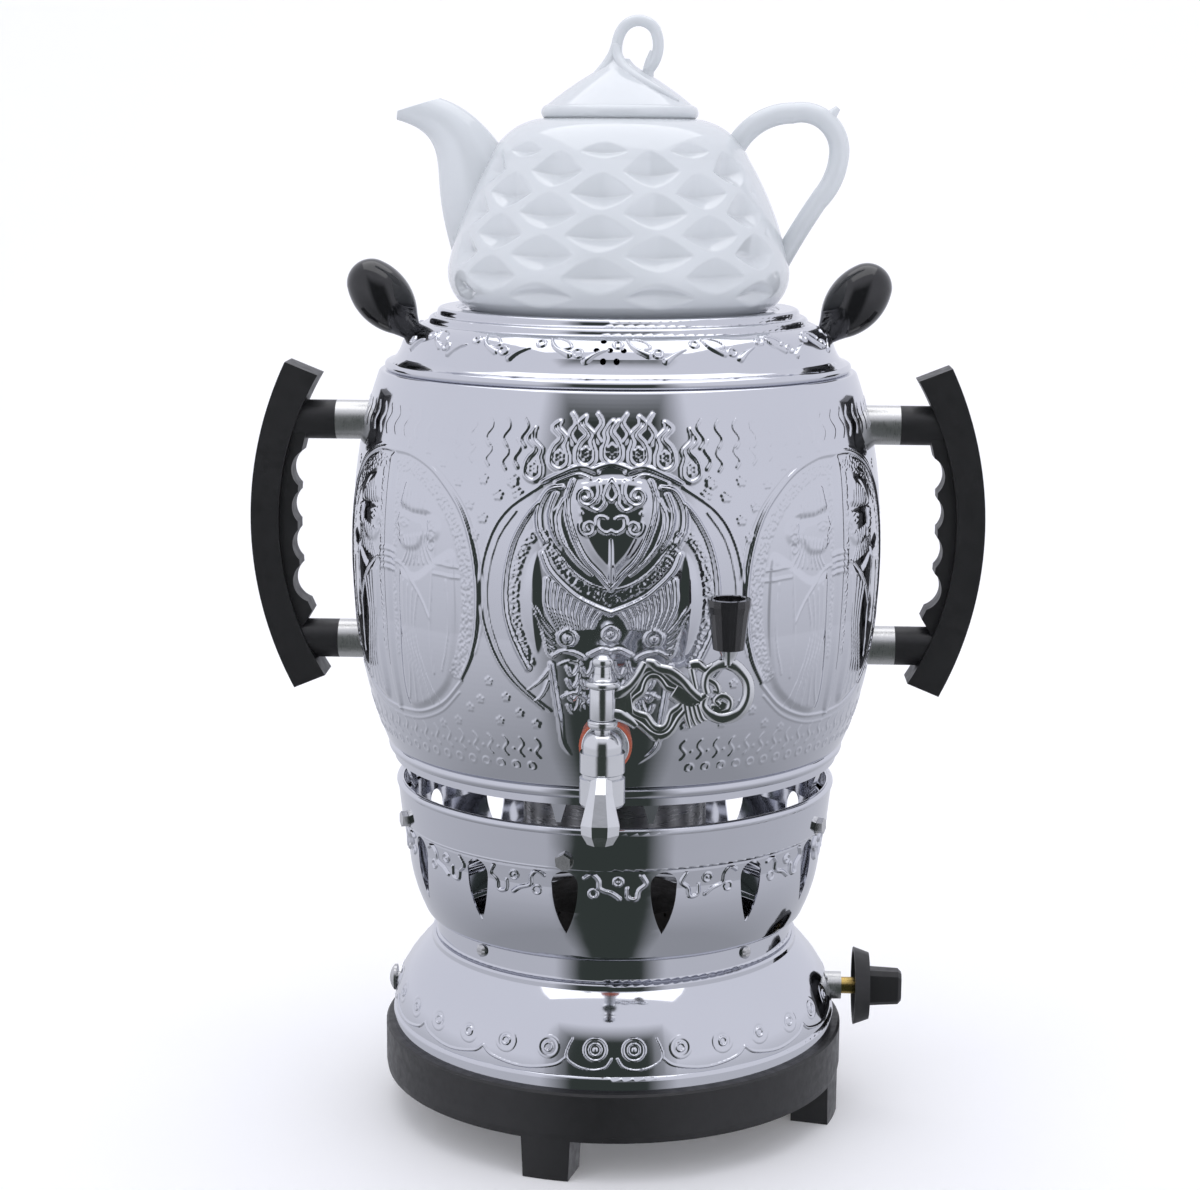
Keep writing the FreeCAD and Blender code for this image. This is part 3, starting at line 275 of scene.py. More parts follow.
class Panel:
    # Draws in coordinates about a centre line, on one side or mirrored on both.
    def __init__(self, canvas, centre, sides=(1, -1)):
        self.canvas, self.centre, self.sides = canvas, centre, sides

    def place(self, points, side):
        points = np.asarray(points, float) * (side, 1)
        return points + (self.centre, 0)

    def line(self, points, width, height, taper=(1, 1), smooth=True):
        path = smooth_path(points) if smooth else points
        for side in self.sides:
            self.canvas.stroke(self.place(path, side), width, height, taper)

    def ring(self, centre, radius, width, height):
        for side in self.sides:
            self.canvas.ring(self.place([centre], side)[0], radius, width, height)

    def dot(self, centre, radius, height):
        for side in self.sides:
            self.canvas.dot(self.place([centre], side)[0], radius, height)

    def pillow(self, outline, height, edge):
        path = smooth_path(outline, 5)
        for side in self.sides:
            self.canvas.pillow(self.place(path, side), height, edge)

    def stipple(self, points, width, height):
        path = smooth_path(points)
        for side in self.sides:
            self.canvas.stipple(self.place(path, side), width, height)

    def wave(self, x, low, high, swing, width, height):
        span = high - low
        points = [(x - swing * 0.4, low), (x + swing, low + span * 0.3),
                  (x - swing, low + span * 0.68), (x + swing * 0.5, high)]
        self.line(points, width, height, (1, 0.5))

    def flower(self, centre, radius, petals, height):
        for i in range(petals):
            way = 2 * math.pi * i / petals + math.pi / 2
            spot = (centre[0] + radius * math.cos(way), centre[1] + radius * math.sin(way))
            self.dot(spot, radius * 0.62, height)
        self.dot(centre, radius * 0.42, height * 0.8)

    def curl(self, centre, radius, start, turns, width, height):
        # A spiral that winds inwards. Negative turns wind it the other way round.
        t = np.linspace(0, 1, 26)
        angle = np.radians(start) + 2 * math.pi * turns * t
        reach = radius * (1 - 0.78 * t)
        points = np.column_stack([centre[0] + reach * np.cos(angle),
                                  centre[1] + reach * np.sin(angle)])
        self.line(points, width, height, (1, 0.8), smooth=False)


# Turned skins

def resample(points, step):
    # Even steps along an outline, keeping its corners.
    out = [points[0]]
    for p, q in zip(points[:-1], points[1:]):
        count = max(1, int(math.ceil(math.hypot(q[0] - p[0], q[1] - p[1]) / step)))
        for i in range(1, count + 1):
            out.append((p[0] + (q[0] - p[0]) * i / count, p[1] + (q[1] - p[1]) * i / count))
    return np.array(out)


def arc_points(start, middle, end, steps):
    # Points on the circle through three points, the first left out.
    (ax, ay), (bx, by), (cx, cy) = start, middle, end
    d = 2 * (ax * (by - cy) + bx * (cy - ay) + cx * (ay - by))
    ux = ((ax * ax + ay * ay) * (by - cy) + (bx * bx + by * by) * (cy - ay)
          + (cx * cx + cy * cy) * (ay - by)) / d
    uy = ((ax * ax + ay * ay) * (cx - bx) + (bx * bx + by * by) * (ax - cx)
          + (cx * cx + cy * cy) * (bx - ax)) / d
    r = math.hypot(ax - ux, ay - uy)
    a0, a1, a2 = (math.atan2(y - uy, x - ux) for x, y in (start, middle, end))
    while a1 - a0 > math.pi:
        a1 -= 2 * math.pi
    while a1 - a0 < -math.pi:
        a1 += 2 * math.pi
    while a2 - a1 > math.pi:
        a2 -= 2 * math.pi
    while a2 - a1 < -math.pi:
        a2 += 2 * math.pi
    return [(ux + r * math.cos(a0 + (a2 - a0) * i / steps),
             uy + r * math.sin(a0 + (a2 - a0) * i / steps)) for i in range(1, steps + 1)]


def outline(start, steps, fine):
    # The same outline form as the part's: a step is a point, or (middle, end) of an arc.
    points = [start]
    for step in steps:
        if isinstance(step[0], tuple):
            points += arc_points(points[-1], step[0], step[1], fine)
        else:
            points.append(step)
    return points


def mesh_object(name, verts, faces, smooth=True, normals=None):
    # A mesh from points in millimetres and faces that all have the same number of corners.
    mesh = bpy.data.meshes.new(name)
    verts = np.asarray(verts, np.float32) * MM
    faces = np.asarray(faces, np.int32)
    mesh.vertices.add(len(verts))
    mesh.vertices.foreach_set("co", verts.ravel())
    count = faces.shape[1]
    mesh.loops.add(faces.size)
    mesh.loops.foreach_set("vertex_index", faces.ravel())
    mesh.polygons.add(len(faces))
    mesh.polygons.foreach_set("loop_start", np.arange(0, faces.size, count, dtype=np.int32))
    mesh.polygons.foreach_set("loop_total", np.full(len(faces), count, np.int32))
    mesh.update(calc_edges=True)
    mesh.validate()
    mesh.polygons.foreach_set("use_smooth", np.full(len(mesh.polygons), smooth, bool))
    if normals is not None:
        mesh.normals_split_custom_set_from_vertices(normals)
    obj = bpy.data.objects.new(name, mesh)
    bpy.context.collection.objects.link(obj)
    return obj


def grid_faces(rows, cols):
    r, c = np.meshgrid(np.arange(rows - 1), np.arange(cols - 1), indexing="ij")
    a = (r * cols + c).ravel()
    return np.column_stack([a, a + 1, a + cols + 1, a + cols])


def grid_normals(points):
    # Normals of a grid of points, so that pieces cut from it meet without a visible seam.
    along = np.gradient(points, axis=1)
    up = np.gradient(points, axis=0)
    n = np.cross(along, up)
    return n / np.maximum(np.linalg.norm(n, axis=2, keepdims=True), 1e-9)


def profile_normals(profile):
    d = np.gradient(profile, axis=0)
    n = np.column_stack([d[:, 1], -d[:, 0]])
    return n / np.maximum(np.hypot(n[:, 0], n[:, 1])[:, None], 1e-9)


def turned_skin(name, profile, angles, relief, cuts):
    # A grid turned about Z. relief(angle, z) is its height; cuts split it into pieces.
    profile = np.asarray(profile, float)
    normal = profile_normals(profile)
    theta = np.radians(angles)[None, :]
    r, z = profile[:, 0][:, None], profile[:, 1][:, None]
    h = relief(np.degrees(theta) + 0 * r, z + 0 * theta)
    rr, zz = r + normal[:, 0][:, None] * h, z + normal[:, 1][:, None] * h
    points = np.dstack([rr * np.sin(theta), -rr * np.cos(theta), zz + 0 * theta])
    normals = grid_normals(points)
    edges = [0] + [int(np.argmin(abs(angles - c))) for c in cuts] + [len(angles) - 1]
    made = []
    for i, (a, b) in enumerate(zip(edges[:-1], edges[1:])):
        part = points[:, a:b + 1]
        bare = normals[:, a:b + 1].reshape(-1, 3)
        made.append(mesh_object(f"{name}_{i + 1}", part.reshape(-1, 3), grid_faces(*part.shape[:2]),
                                normals=bare))
    return made


# Tank ornament

TANK_U = 121.5 * math.pi / 180      # millimetres along the belly for a degree
EMBLEM = 2.0                        # millimetres from the front to the emblem's middle
ARCH = 115.0                        # millimetres from there to an arch's middle
EMBLEM_TURN = 2.0                   # degrees, for the strip that is pressed deep
RELIEF_Z = (181.5, 346.0)           # the ornament fades out towards these heights
SEAT_CLEAR = 17.0                   # bare radius round the tap's seat
HANDLE_Z = (222.0, 325.0)           # heights of the handle tubes, at both sides
HANDLE_CLEAR = 9.5                  # bare radius round a tube


def flame_drop(panel, x, low, swing=1.6, tall=16.0):
    # A drop that holds a rosette, with a wavy flame rising from it.
    panel.line([(x - 3.9, low + 1.0), (x - 3.6, low - 3.0), (x, low - 5.0), (x + 3.6, low - 3.0),
                (x + 3.9, low + 1.0), (x + 2.4, low + 4.6), (x + 1.2 - swing, low + 8.0),
                (x + 1.6 + swing, low + 12.0), (x + 0.4, low + tall)], 2.4, 0.95, (1, 0.8))
    panel.line([(x - 3.9, low + 1.0), (x - 2.6, low + 4.8), (x - 1.6 - swing, low + 8.0),
                (x - 0.8 + swing, low + 12.0), (x + 0.4, low + tall)], 2.2, 0.85, (1, 0.8))
    panel.flower((x, low), 2.0, 6, 0.6)


def emblem(panel, middle):
    for x, low, tall in ((11.5, 324.7, 15), (23.0, 323.0, 14.5), (34.5, 318.0, 16.5)):
        flame_drop(panel, x, low, 1.6, tall)
    flame_drop(middle, 0.0, 326.0, 1.2, 9.0)
    for x, low in ((5.8, 329.5), (17.2, 329.0)):
        panel.wave(x, low, 341.0, 1.3, 2.6, 0.8)
    panel.wave(42.5, 318.0, 330.0, 1.3, 1.8, 0.7)
    panel.flower((43.5, 312.5), 1.9, 6, 0.5)
    # Crown band over the shield
    middle.line([(-7.5, 318.6), (0, 320.6), (7.5, 318.6)], 3.0, 1.3)
    panel.line([(6.5, 317.6), (14.0, 319.4), (23.0, 316.0), (30.0, 312.6)], 3.0, 1.3, (1, 0.7))
    panel.line([(9.0, 314.6), (15.0, 316.2), (24.0, 313.0)], 1.4, 0.8)
    # Bare shield with a keel and two rows of scrolls
    middle.pillow([(-15.5, 314.5), (0, 317.0), (15.5, 314.5), (18.0, 305.0), (16.0, 294.0),
                   (10.5, 283.0), (4.0, 275.5), (0, 269.6), (-4.0, 275.5), (-10.5, 283.0),
                   (-16.0, 294.0), (-18.0, 305.0)], 2.0, 5.0)
    panel.line([(16.5, 314.0), (19.0, 305.0), (17.0, 294.0), (11.5, 282.0), (4.6, 274.4),
                (0, 268.6)], 1.9, 1.3)
    middle.line([(0, 290.0), (0, 280.0), (0, 271.0)], 2.2, 0.7, (0.3, 1))
    panel.curl((10.6, 307.6), 4.4, 200, 1.3, 1.8, 1.0)
    panel.line([(10.0, 303.4), (5.6, 301.6), (2.6, 304.6), (3.4, 308.0)], 1.8, 1.0, (1, 0.6))
    panel.line([(5.4, 313.4), (5.0, 309.0), (6.4, 305.0)], 1.6, 0.9)
    middle.line([(0, 314.0), (-2.6, 308.6), (0, 305.4), (2.6, 308.6), (0, 314.0)], 1.6, 1.0)
    panel.curl((9.4, 294.6), 3.9, 20, -1.25, 1.7, 0.9)
    panel.line([(2.0, 298.6), (5.4, 299.0), (5.6, 294.8), (2.2, 292.4), (0, 293.4)], 1.6, 0.9)
    panel.dot((12.6, 300.6), 1.1, 0.7)
    # Drapery beside the shield
    panel.line([(21.0, 311.0), (27.0, 309.4), (31.0, 302.0), (31.0, 294.0), (28.0, 288.5)],
               3.0, 1.4, (0.7, 1))
    panel.line([(23.5, 308.4), (26.0, 301.0), (25.0, 293.0), (22.0, 287.0)], 2.4, 1.1, (1, 0.4))
    panel.line([(20.0, 306.0), (22.6, 299.0), (21.0, 290.0), (15.0, 281.0), (8.0, 274.6)],
               2.2, 1.0, (0.8, 0.5))
    panel.pillow([(22.0, 304.0), (28.0, 301.0), (27.0, 292.0), (21.0, 284.0), (18.0, 288.0),
                  (21.0, 296.0)], 1.0, 3.0)
    # Oval loops with a matted band
    panel.line([(31.5, 304.0), (37.0, 297.0), (42.5, 286.0), (45.5, 272.0), (45.6, 258.0),
                (42.0, 245.0), (36.0, 233.6)], 3.4, 1.7, (0.5, 1))
    panel.stipple([(28.5, 291.0), (34.0, 289.5), (39.4, 280.0), (41.6, 268.0), (41.2, 255.0),
                   (38.4, 244.0), (35.0, 236.0)], 4.6, 0.5)
    panel.pillow([(31.0, 285.0), (36.0, 277.0), (38.6, 266.0), (38.0, 254.0), (34.6, 243.0),
                  (31.0, 240.0), (28.6, 250.0), (28.4, 268.0)], 1.1, 5.0)
    # V band
    panel.stipple([(27.6, 288.4), (20.6, 277.6), (11.0, 269.4), (0, 264.4)], 5.4, 0.5)
    panel.line([(29.0, 283.0), (25.6, 275.6), (16.0, 266.4), (8.0, 262.0), (0, 258.8)], 2.4, 1.5)
    panel.line([(24.0, 285.5), (16.0, 276.0), (8.0, 270.6), (0, 268.0)], 1.2, 0.8, (0.5, 1))
    # Feather fans under the band
    for i in range(9):
        t = i / 8.0
        top = (27.0 - 23.5 * t, 272.4 - 12.6 * t)
        low = (22.5 - 14.5 * t, 251.0 + 1.2 * t)
        bend = ((top[0] + low[0]) / 2 + 2.6 - 2.0 * t, (top[1] + low[1]) / 2)
        panel.line([top, bend, low], 2.3, 1.15, (0.9, 0.5))
    for i in range(5):
        panel.line([(33.0 - 1.2 * i, 262.0 - 4.2 * i), (28.5 - 0.6 * i, 254.6 - 3.6 * i),
                    (24.6, 250.0 - 2.4 * i)], 1.5, 0.9, (0.3, 1))
    # Heads with ringed eyes and small beaks
    eye = (18.2, 247.6)
    panel.pillow([(eye[0] - 6, eye[1] + 1), (eye[0], eye[1] + 6), (eye[0] + 6, eye[1] + 1),
                  (eye[0], eye[1] - 6)], 1.2, 4.0)
    panel.ring(eye, 3.6, 1.4, 0.9)
    panel.dot(eye, 1.5, 1.0)
    middle.ring((0, 249.6), 3.0, 1.3, 1.0)
    middle.dot((0, 249.6), 1.3, 1.0)
    middle.line([(-9.0, 240.6), (-4.0, 243.0), (0, 242.4), (4.0, 243.0), (9.0, 240.6)], 2.2, 1.2)
    panel.line([(25.0, 239.0), (20.6, 241.8), (15.0, 241.2), (11.4, 239.4)], 2.4, 1.2, (0.4, 1))
    panel.line([(22.0, 236.0), (17.6, 237.6), (12.8, 236.6)], 1.6, 0.8, (0.3, 1))
    # Breast feathers
    for row in range(4):
        z = 234.0 - 5.6 * row
        for x in (4.0, 10.0, 16.0):
            panel.line([(x - 2.6, z + 4.0), (x - 1.6, z), (x + 0.6, z - 2.4), (x + 2.2, z + 1.0)],
                       1.5, 0.9, (0.5, 1))
    panel.line([(25.5, 236.0), (24.0, 224.0), (22.5, 212.0), (20.6, 198.6), (10.0, 190.5)], 2.2, 1.3)
    panel.line([(21.0, 221.6), (16.0, 223.6), (10.6, 221.6)], 2.0, 1.1, (0.5, 1))
    panel.ring((10.4, 217.0), 2.4, 1.1, 0.9)
    panel.line([(36.0, 224.0), (30.6, 228.4), (26.0, 234.0)], 1.6, 0.9, (0.3, 1))
    panel.line([(34.0, 218.6), (30.0, 222.0), (27.0, 228.0)], 1.6, 0.9, (0.3, 1))
    # Outer wing lines
    wing = [(31.0, 311.0), (45.0, 301.0), (53.0, 289.0), (57.6, 272.0), (57.4, 256.0),
            (52.4, 240.0), (44.0, 227.6), (30.0, 216.0)]
    panel.line(wing, 1.5, 0.7)
    panel.line([(x - 3.4, z - 1.0) for x, z in wing[1:]], 1.2, 0.45)


def soldier(panel):
    # A robed guard in profile, facing the staff between the pair. Its face is a plain stock one.
    panel.pillow([(8.0, 297.0), (10.0, 303.0), (13.0, 309.0), (22.0, 307.0), (29.0, 299.6),
                  (30.0, 295.0), (18.0, 294.0)], 1.3, 3.0)
    for i in range(7):
        panel.line([(11.0 + 2.6 * i, 296.4 - 0.2 * i), (12.6 + 2.2 * i, 306.6 - 0.9 * i)], 1.1, 0.6,
                   smooth=False)
    panel.pillow([(8.6, 295.4), (6.8, 289.2), (8.2, 286.0), (8.6, 281.4), (13.0, 278.0),
                  (23.0, 279.0), (28.4, 287.0), (27.0, 294.0)], 1.3, 3.0)
    panel.line([(9.6, 293.6), (8.6, 291.4), (6.9, 288.2), (8.8, 286.8), (8.4, 284.8), (9.2, 282.6)],
               1.1, 0.6)
    panel.line([(10.4, 292.0), (13.6, 293.0), (17.0, 291.8)], 1.0, 0.45)
    panel.line([(10.8, 289.6), (13.4, 290.5), (16.2, 289.4)], 0.9, 0.5)
    panel.line([(10.8, 289.6), (13.4, 288.6), (16.2, 289.4)], 0.8, 0.4)
    panel.line([(9.0, 284.8), (11.0, 284.4), (12.6, 285.0)], 0.9, 0.4)
    for i in range(8):
        a = 0.30 + 0.215 * i
        x0, z0 = 14.0 + 2.2 * i, 283.6 + 0.5 * i
        panel.line([(x0, z0), (x0 + 2.0 * math.cos(a) - 1.0, z0 - 6.0),
                    (x0 - 3.4 + 0.9 * i, z0 - 12.6)], 1.7, 0.75, (0.8, 0.5))
    panel.pillow([(27.0, 295.0), (34.5, 294.0), (36.5, 288.0), (33.0, 283.0), (27.0, 284.0)],
                 1.2, 3.0)
    for i in range(3):
        panel.curl((31.0, 290.6 - 4.4 * i), 2.9, 40, 1.1, 1.1, 0.6)
    # Robe, sleeve and folds
    panel.pillow([(9.0, 273.0), (20.0, 269.0), (33.0, 277.0), (44.0, 281.0), (46.4, 262.0),
                  (45.0, 240.0), (40.0, 222.0), (24.0, 209.4), (8.0, 208.0), (7.0, 232.0)], 1.5, 4.0)
    panel.line([(33.0, 275.0), (46.0, 274.0)], 1.2, 0.7, smooth=False)
    panel.line([(33.0, 270.4), (46.6, 269.6)], 1.2, 0.7, smooth=False)
    panel.line([(33.0, 283.0), (31.6, 262.0), (30.0, 244.0), (31.0, 226.0)], 1.2, 0.7)
    panel.line([(4.6, 272.6), (13.0, 270.6), (24.0, 260.0), (30.0, 250.0)], 1.3, 0.8)
    for i in range(5):
        panel.line([(23.0 - 3.2 * i, 260.0 + 1.6 * i), (20.0 - 2.2 * i, 244.0),
                    (25.0 - 2.6 * i, 226.0), (32.0 - 5.2 * i, 211.6)], 1.1, 0.55)
    panel.line([(40.0, 268.0), (40.6, 246.0), (36.0, 228.0)], 1.0, 0.5)


def arch(panel, middle):
    rim = [(0, 320.0), (13.0, 319.6), (27.0, 315.4), (38.0, 308.0), (47.0, 298.0), (53.0, 284.0),
           (55.6, 268.0), (55.0, 250.0), (51.4, 236.0), (45.6, 225.6)]
    panel.line(rim, 2.4, 1.35)
    panel.line([(x * 1.055, z + 1.8) for x, z in rim[1:-1]], 1.1, 0.4)
    panel.stipple([(5.6, 314.6), (14.0, 314.4), (25.0, 310.6), (35.0, 303.6), (43.0, 293.6),
                   (48.4, 281.0), (50.6, 266.0), (50.0, 250.0), (46.6, 236.0), (43.0, 228.0)],
                  6.4, 0.5)
    panel.stipple([(6.6, 312.0), (6.2, 290.0), (5.8, 262.0), (5.6, 232.0)], 3.2, 0.45)
    panel.line([(46.0, 224.6), (34.0, 213.4), (18.0, 206.6), (0, 204.8)], 1.5, 0.9)
    panel.line([(44.0, 219.0), (32.0, 209.0), (16.0, 203.0), (0, 201.4)], 1.1, 0.5)
    soldier(panel)
    middle.pillow([(-3.0, 317.6), (3.0, 317.6), (3.2, 290.0), (3.0, 240.0), (2.6, 207.0),
                   (-2.6, 207.0), (-3.0, 240.0), (-3.2, 290.0)], 1.5, 1.6)
    for i in range(4):
        middle.line([(-5.6, 276.4 - 2.7 * i), (0, 277.2 - 2.7 * i), (5.6, 276.4 - 2.7 * i)], 2.4, 1.1)


def field(panel):
    # Flame rows, small flowers and the rings along the bottom, between emblem and arches.
    for i in range(18):
        x = 40.0 + 8.6 * i
        panel.wave(x, 326.6, 338.6, 1.4, 1.7, 0.55)
    for i in range(4):
        panel.wave(48.0 + 8.4 * i, 317.0 + 1.2 * i, 327.4 + 0.6 * i, 1.3, 1.6, 0.5)
    for spot in ((41.0, 307.5), (50.0, 306.4), (57.6, 312.6), (57.0, 296.4), (64.0, 301.6),
                 (70.6, 310.8), (61.0, 288.6), (80.0, 318.0), (90.0, 322.6), (103.0, 324.0),
                 (150.0, 318.0), (160.0, 311.0), (168.0, 300.0), (174.0, 288.0)):
        panel.flower(spot, 1.6, 5, 0.5)
    for spot in ((47.0, 219.6), (41.0, 213.0), (55.0, 226.0), (60.0, 217.4), (51.0, 208.6),
                 (66.0, 213.0), (74.0, 206.0), (33.5, 208.6), (84.0, 203.0), (146.0, 203.0),
                 (156.0, 208.0), (164.0, 216.0), (172.0, 226.0)):
        panel.flower(spot, 1.3, 5, 0.45)
    for i in range(20):
        x = 34.0 + 8.0 * i
        panel.wave(x, 192.6, 201.6, 1.2, 1.5, 0.55)
        panel.ring((x + 4.0, 188.4), 1.7, 1.0, 0.55)
        panel.dot((x + 4.0, 196.0), 0.8, 0.4)


def tank_canvas():
    half = 180 * TANK_U
    canvas = Canvas((-half, 176.0), (half, 352.0), 0.5)
    for turn in (0.0, BACK * TANK_U):
        both = Panel(canvas, EMBLEM + turn)
        emblem(both, Panel(canvas, EMBLEM + turn, (1,)))
        field(both)
        for side in (-1, 1):
            centre = EMBLEM + turn + side * ARCH
            arch(Panel(canvas, centre), Panel(canvas, centre, (1,)))
    return canvas


def fade(z, low, high, soft):
    # Nothing outside the two heights, rising to one over the soft width inside them.
    return np.clip((z - low) / soft, 0, 1) * np.clip((high - z) / soft, 0, 1)


def tank_skin():
    profile = outline((104.1, 179.35), [
        ((105.6, 179.4), (106.8, 180.0)),
        ((116.0, 208.6), (120.6, 245.0)),
        ((121.5, 272.0), (120.0, 301.0)),
        ((115.9, 326.0), (109.2, 348.6)),
        ((108.2, 349.8), (107.0, 350.0)),
        (98.5, 350.0), (98.5, 345.5)], 26)
    profile = resample(profile, 0.62)
    canvas = tank_canvas()

    def relief(angle, z):
        h = canvas.height(angle * TANK_U, z) * fade(z, *RELIEF_Z, 2.0)
        # The side arches are pressed less deep than the emblem
        aside = np.minimum(np.abs(angle - EMBLEM_TURN), np.abs(np.abs(angle - EMBLEM_TURN) - BACK))
        h = h * np.interp(aside, (26.0, 36.0), (1.0, 0.6))
        # The sheet stays smooth round the tap's seat and the handle tubes
        seat = np.hypot(angle * TANK_U, z - TAP_Z)
        h = h * np.clip((seat - SEAT_CLEAR) / 8.0, 0, 1)
        for side in (-90.0, 90.0):
            for level in HANDLE_Z:
                far = np.hypot((angle - side) * TANK_U, z - level)
                h = h * np.clip((far - HANDLE_CLEAR) / 2.0, 0, 1)
        return h

    angles = np.concatenate([np.linspace(-180, -88, 190)[:-1], np.linspace(-88, 88, 617),
                             np.linspace(88, 180, 190)[1:]])
    for piece in turned_skin("tank_skin", profile, angles, relief, (-88, 0, 88)):
        dress(piece, "chrome", "samovar", "tank_shell")


tank_skin()


# Ornament laid on the other turned sheets

BAND_SINK = 0.16                    # millimetres that a band's bare ground lies inside its sheet


class Band:
    # A raised ornament on a stretch of a turned sheet. Only its raised parts stand out of the sheet.
    def __init__(self, profile, radius):
        self.profile = resample(profile, 0.45)
        steps = np.hypot(*(self.profile[1:] - self.profile[:-1]).T)
        self.along = np.concatenate([[0], np.cumsum(steps)])
        self.scale = radius * math.pi / 180
        half = 180 * self.scale
        self.canvas = Canvas((-half, 0.0), (half, self.along[-1] + 0.5), 0.4)

    def spot(self, angle, z):
        return (angle * self.scale, float(np.interp(z, self.profile[:, 1], self.along)))

    def path(self, points):
        return smooth_path([self.spot(a, z) for a, z in points])

    def line(self, points, width, height, taper=(1, 1)):
        self.canvas.stroke(self.path(points), width, height, taper)

    def ring(self, angle, z, radius, width, height):
        self.canvas.ring(self.spot(angle, z), radius, width, height)

    def dot(self, angle, z, radius, height):
        self.canvas.dot(self.spot(angle, z), radius, height)

    def build(self, name, body, cols):
        angles = np.linspace(-180, 180, cols)
        theta = np.radians(angles)[None, :]
        normal = profile_normals(self.profile)
        s = self.along[:, None] + 0 * theta
        h = self.canvas.height(angles[None, :] * self.scale + 0 * s, s) - BAND_SINK
        r = self.profile[:, 0][:, None] + normal[:, 0][:, None] * h
        z = self.profile[:, 1][:, None] + normal[:, 1][:, None] * h
        points = np.dstack([r * np.sin(theta), -r * np.cos(theta), z])
        normals = grid_normals(points).reshape(-1, 3)
        faces = grid_faces(*h.shape)
        raised = (h.reshape(-1)[faces] > -0.5 * BAND_SINK).any(axis=1)
        faces = faces[raised]
        used = np.unique(faces)
        index = np.full(points.shape[0] * points.shape[1], -1)
        index[used] = np.arange(len(used))
        piece = mesh_object(name, points.reshape(-1, 3)[used], index[faces], normals=normals[used])
        dress(piece, "chrome", body)


def skirt_ornament():
    band = Band(outline((103.9, 47.8), [((101.7, 60.5), (94.2, 73.0))], 24), 101.0)
    centre, ring_z = 2.4, 59.6
    for side in (-1, 1):
        eye = centre + side * 4.8
        band.ring(eye, ring_z, 4.9, 1.5, 0.75)
        band.ring(eye, ring_z, 2.6, 1.2, 0.75)
        band.dot(eye, ring_z, 1.2, 0.8)
        band.line([(centre + side * 0.7, 56.0), (centre + side * 2.2, 52.2),
                   (centre + side * 5.4, 50.8), (centre + side * 9.4, 52.4),
                   (centre + side * 12.0, 56.6), (centre + side * 10.6, 64.0)], 1.9, 1.0, (0.6, 0.5))
        for i in range(14):
            at = centre + side * (16.6 + 11.55 * i)
            band.ring(at, ring_z, 1.8, 1.2, 0.9)
            band.ring(at, ring_z, 4.4, 2.6, 0.4)
    for i in range(15):
        left = centre + 12.0 + 22.4 * i
        band.line([(left, 55.6), (left + 3.0, 52.0), (left + 11.2, 49.8), (left + 19.4, 52.0),
                   (left + 22.4, 55.6)], 1.6, 0.9)
    band.build("skirt_ornament", "samovar", 1180)


BOWL_TURN = 2.0                     # degrees that the bowl is turned from the front
BOWL_VENTS = 14


def bowl_ornament():
    # A curled motif between each pair of vents, every second one mirrored.
    band = Band(outline((89.8, 98.2), [((94.8, 112.0), (97.2, 131.0)), (98.4, 138.6)], 24), 97.0)
    step = 360.0 / BOWL_VENTS
    for i in range(BOWL_VENTS):
        mid = BOWL_TURN + step * i
        side = 1 if i % 2 == 0 else -1
        band.ring(mid + side * 1.0, 135.0, 2.0, 1.3, 1.1)
        band.dot(mid + side * 1.0, 135.0, 0.9, 1.0)
        band.ring(mid - side * 5.4, 129.4, 1.9, 1.3, 1.0)
        band.line([(mid - side * 7.6, 136.6), (mid - side * 5.6, 138.4), (mid - side * 4.0, 135.6),
                   (mid - side * 3.6, 131.6), (mid - side * 0.6, 129.6), (mid + side * 1.4, 127.2)],
                  2.9, 1.3, (0.7, 0.8))
        band.line([(mid + side * 3.4, 132.0), (mid + side * 3.6, 127.6), (mid + side * 5.8, 127.0),
                   (mid + side * 6.4, 131.0), (mid + side * 8.2, 134.0), (mid + side * 7.0, 138.0)],
                  2.9, 1.3, (0.7, 0.8))
    band.build("bowl_ornament", "samovar", 1120)


def lid_ornament():
    band = Band(outline((99.6, 358.6), [(98.2, 362.2), ((94.6, 367.2), (88.4, 371.0))], 20), 94.0)
    for i in range(18):
        mid = -8.0 + 20.0 * i
        # Left bare beside the two knobs
        if (mid + 90) % 180 < 14:
            continue
        band.ring(mid, 364.6, 1.9, 1.3, 1.1)
        band.ring(mid + 10.0, 368.0, 1.9, 1.3, 1.1)
        band.line([(mid + 2.0, 361.6), (mid + 4.4, 364.2), (mid + 7.4, 366.0)], 3.6, 1.3, (1, 0.2))
        band.line([(mid + 12.2, 370.0), (mid + 14.0, 366.6), (mid + 17.6, 364.0)], 3.8, 1.3, (0.2, 1))
        band.line([(mid + 13.8, 370.2), (mid + 17.0, 369.0), (mid + 18.2, 366.8),
                   (mid + 15.6, 366.0)], 1.8, 1.0, (0.3, 1))
    band.build("lid_ornament", "samovar_lid", 1000)


# Teapot

POT_FACES = 9                       # notches round the pot in each row
POT_TURN = -4.7
LENS_HALF = 12.0                    # half a notch's width, in degrees
LENS_PITCH = 17.8                   # height between the rows of a stack
LENS_DEPTH = 4.9
LENS_ABOVE, LENS_BELOW = 8.6, 6.8   # how far a notch reaches from its crease


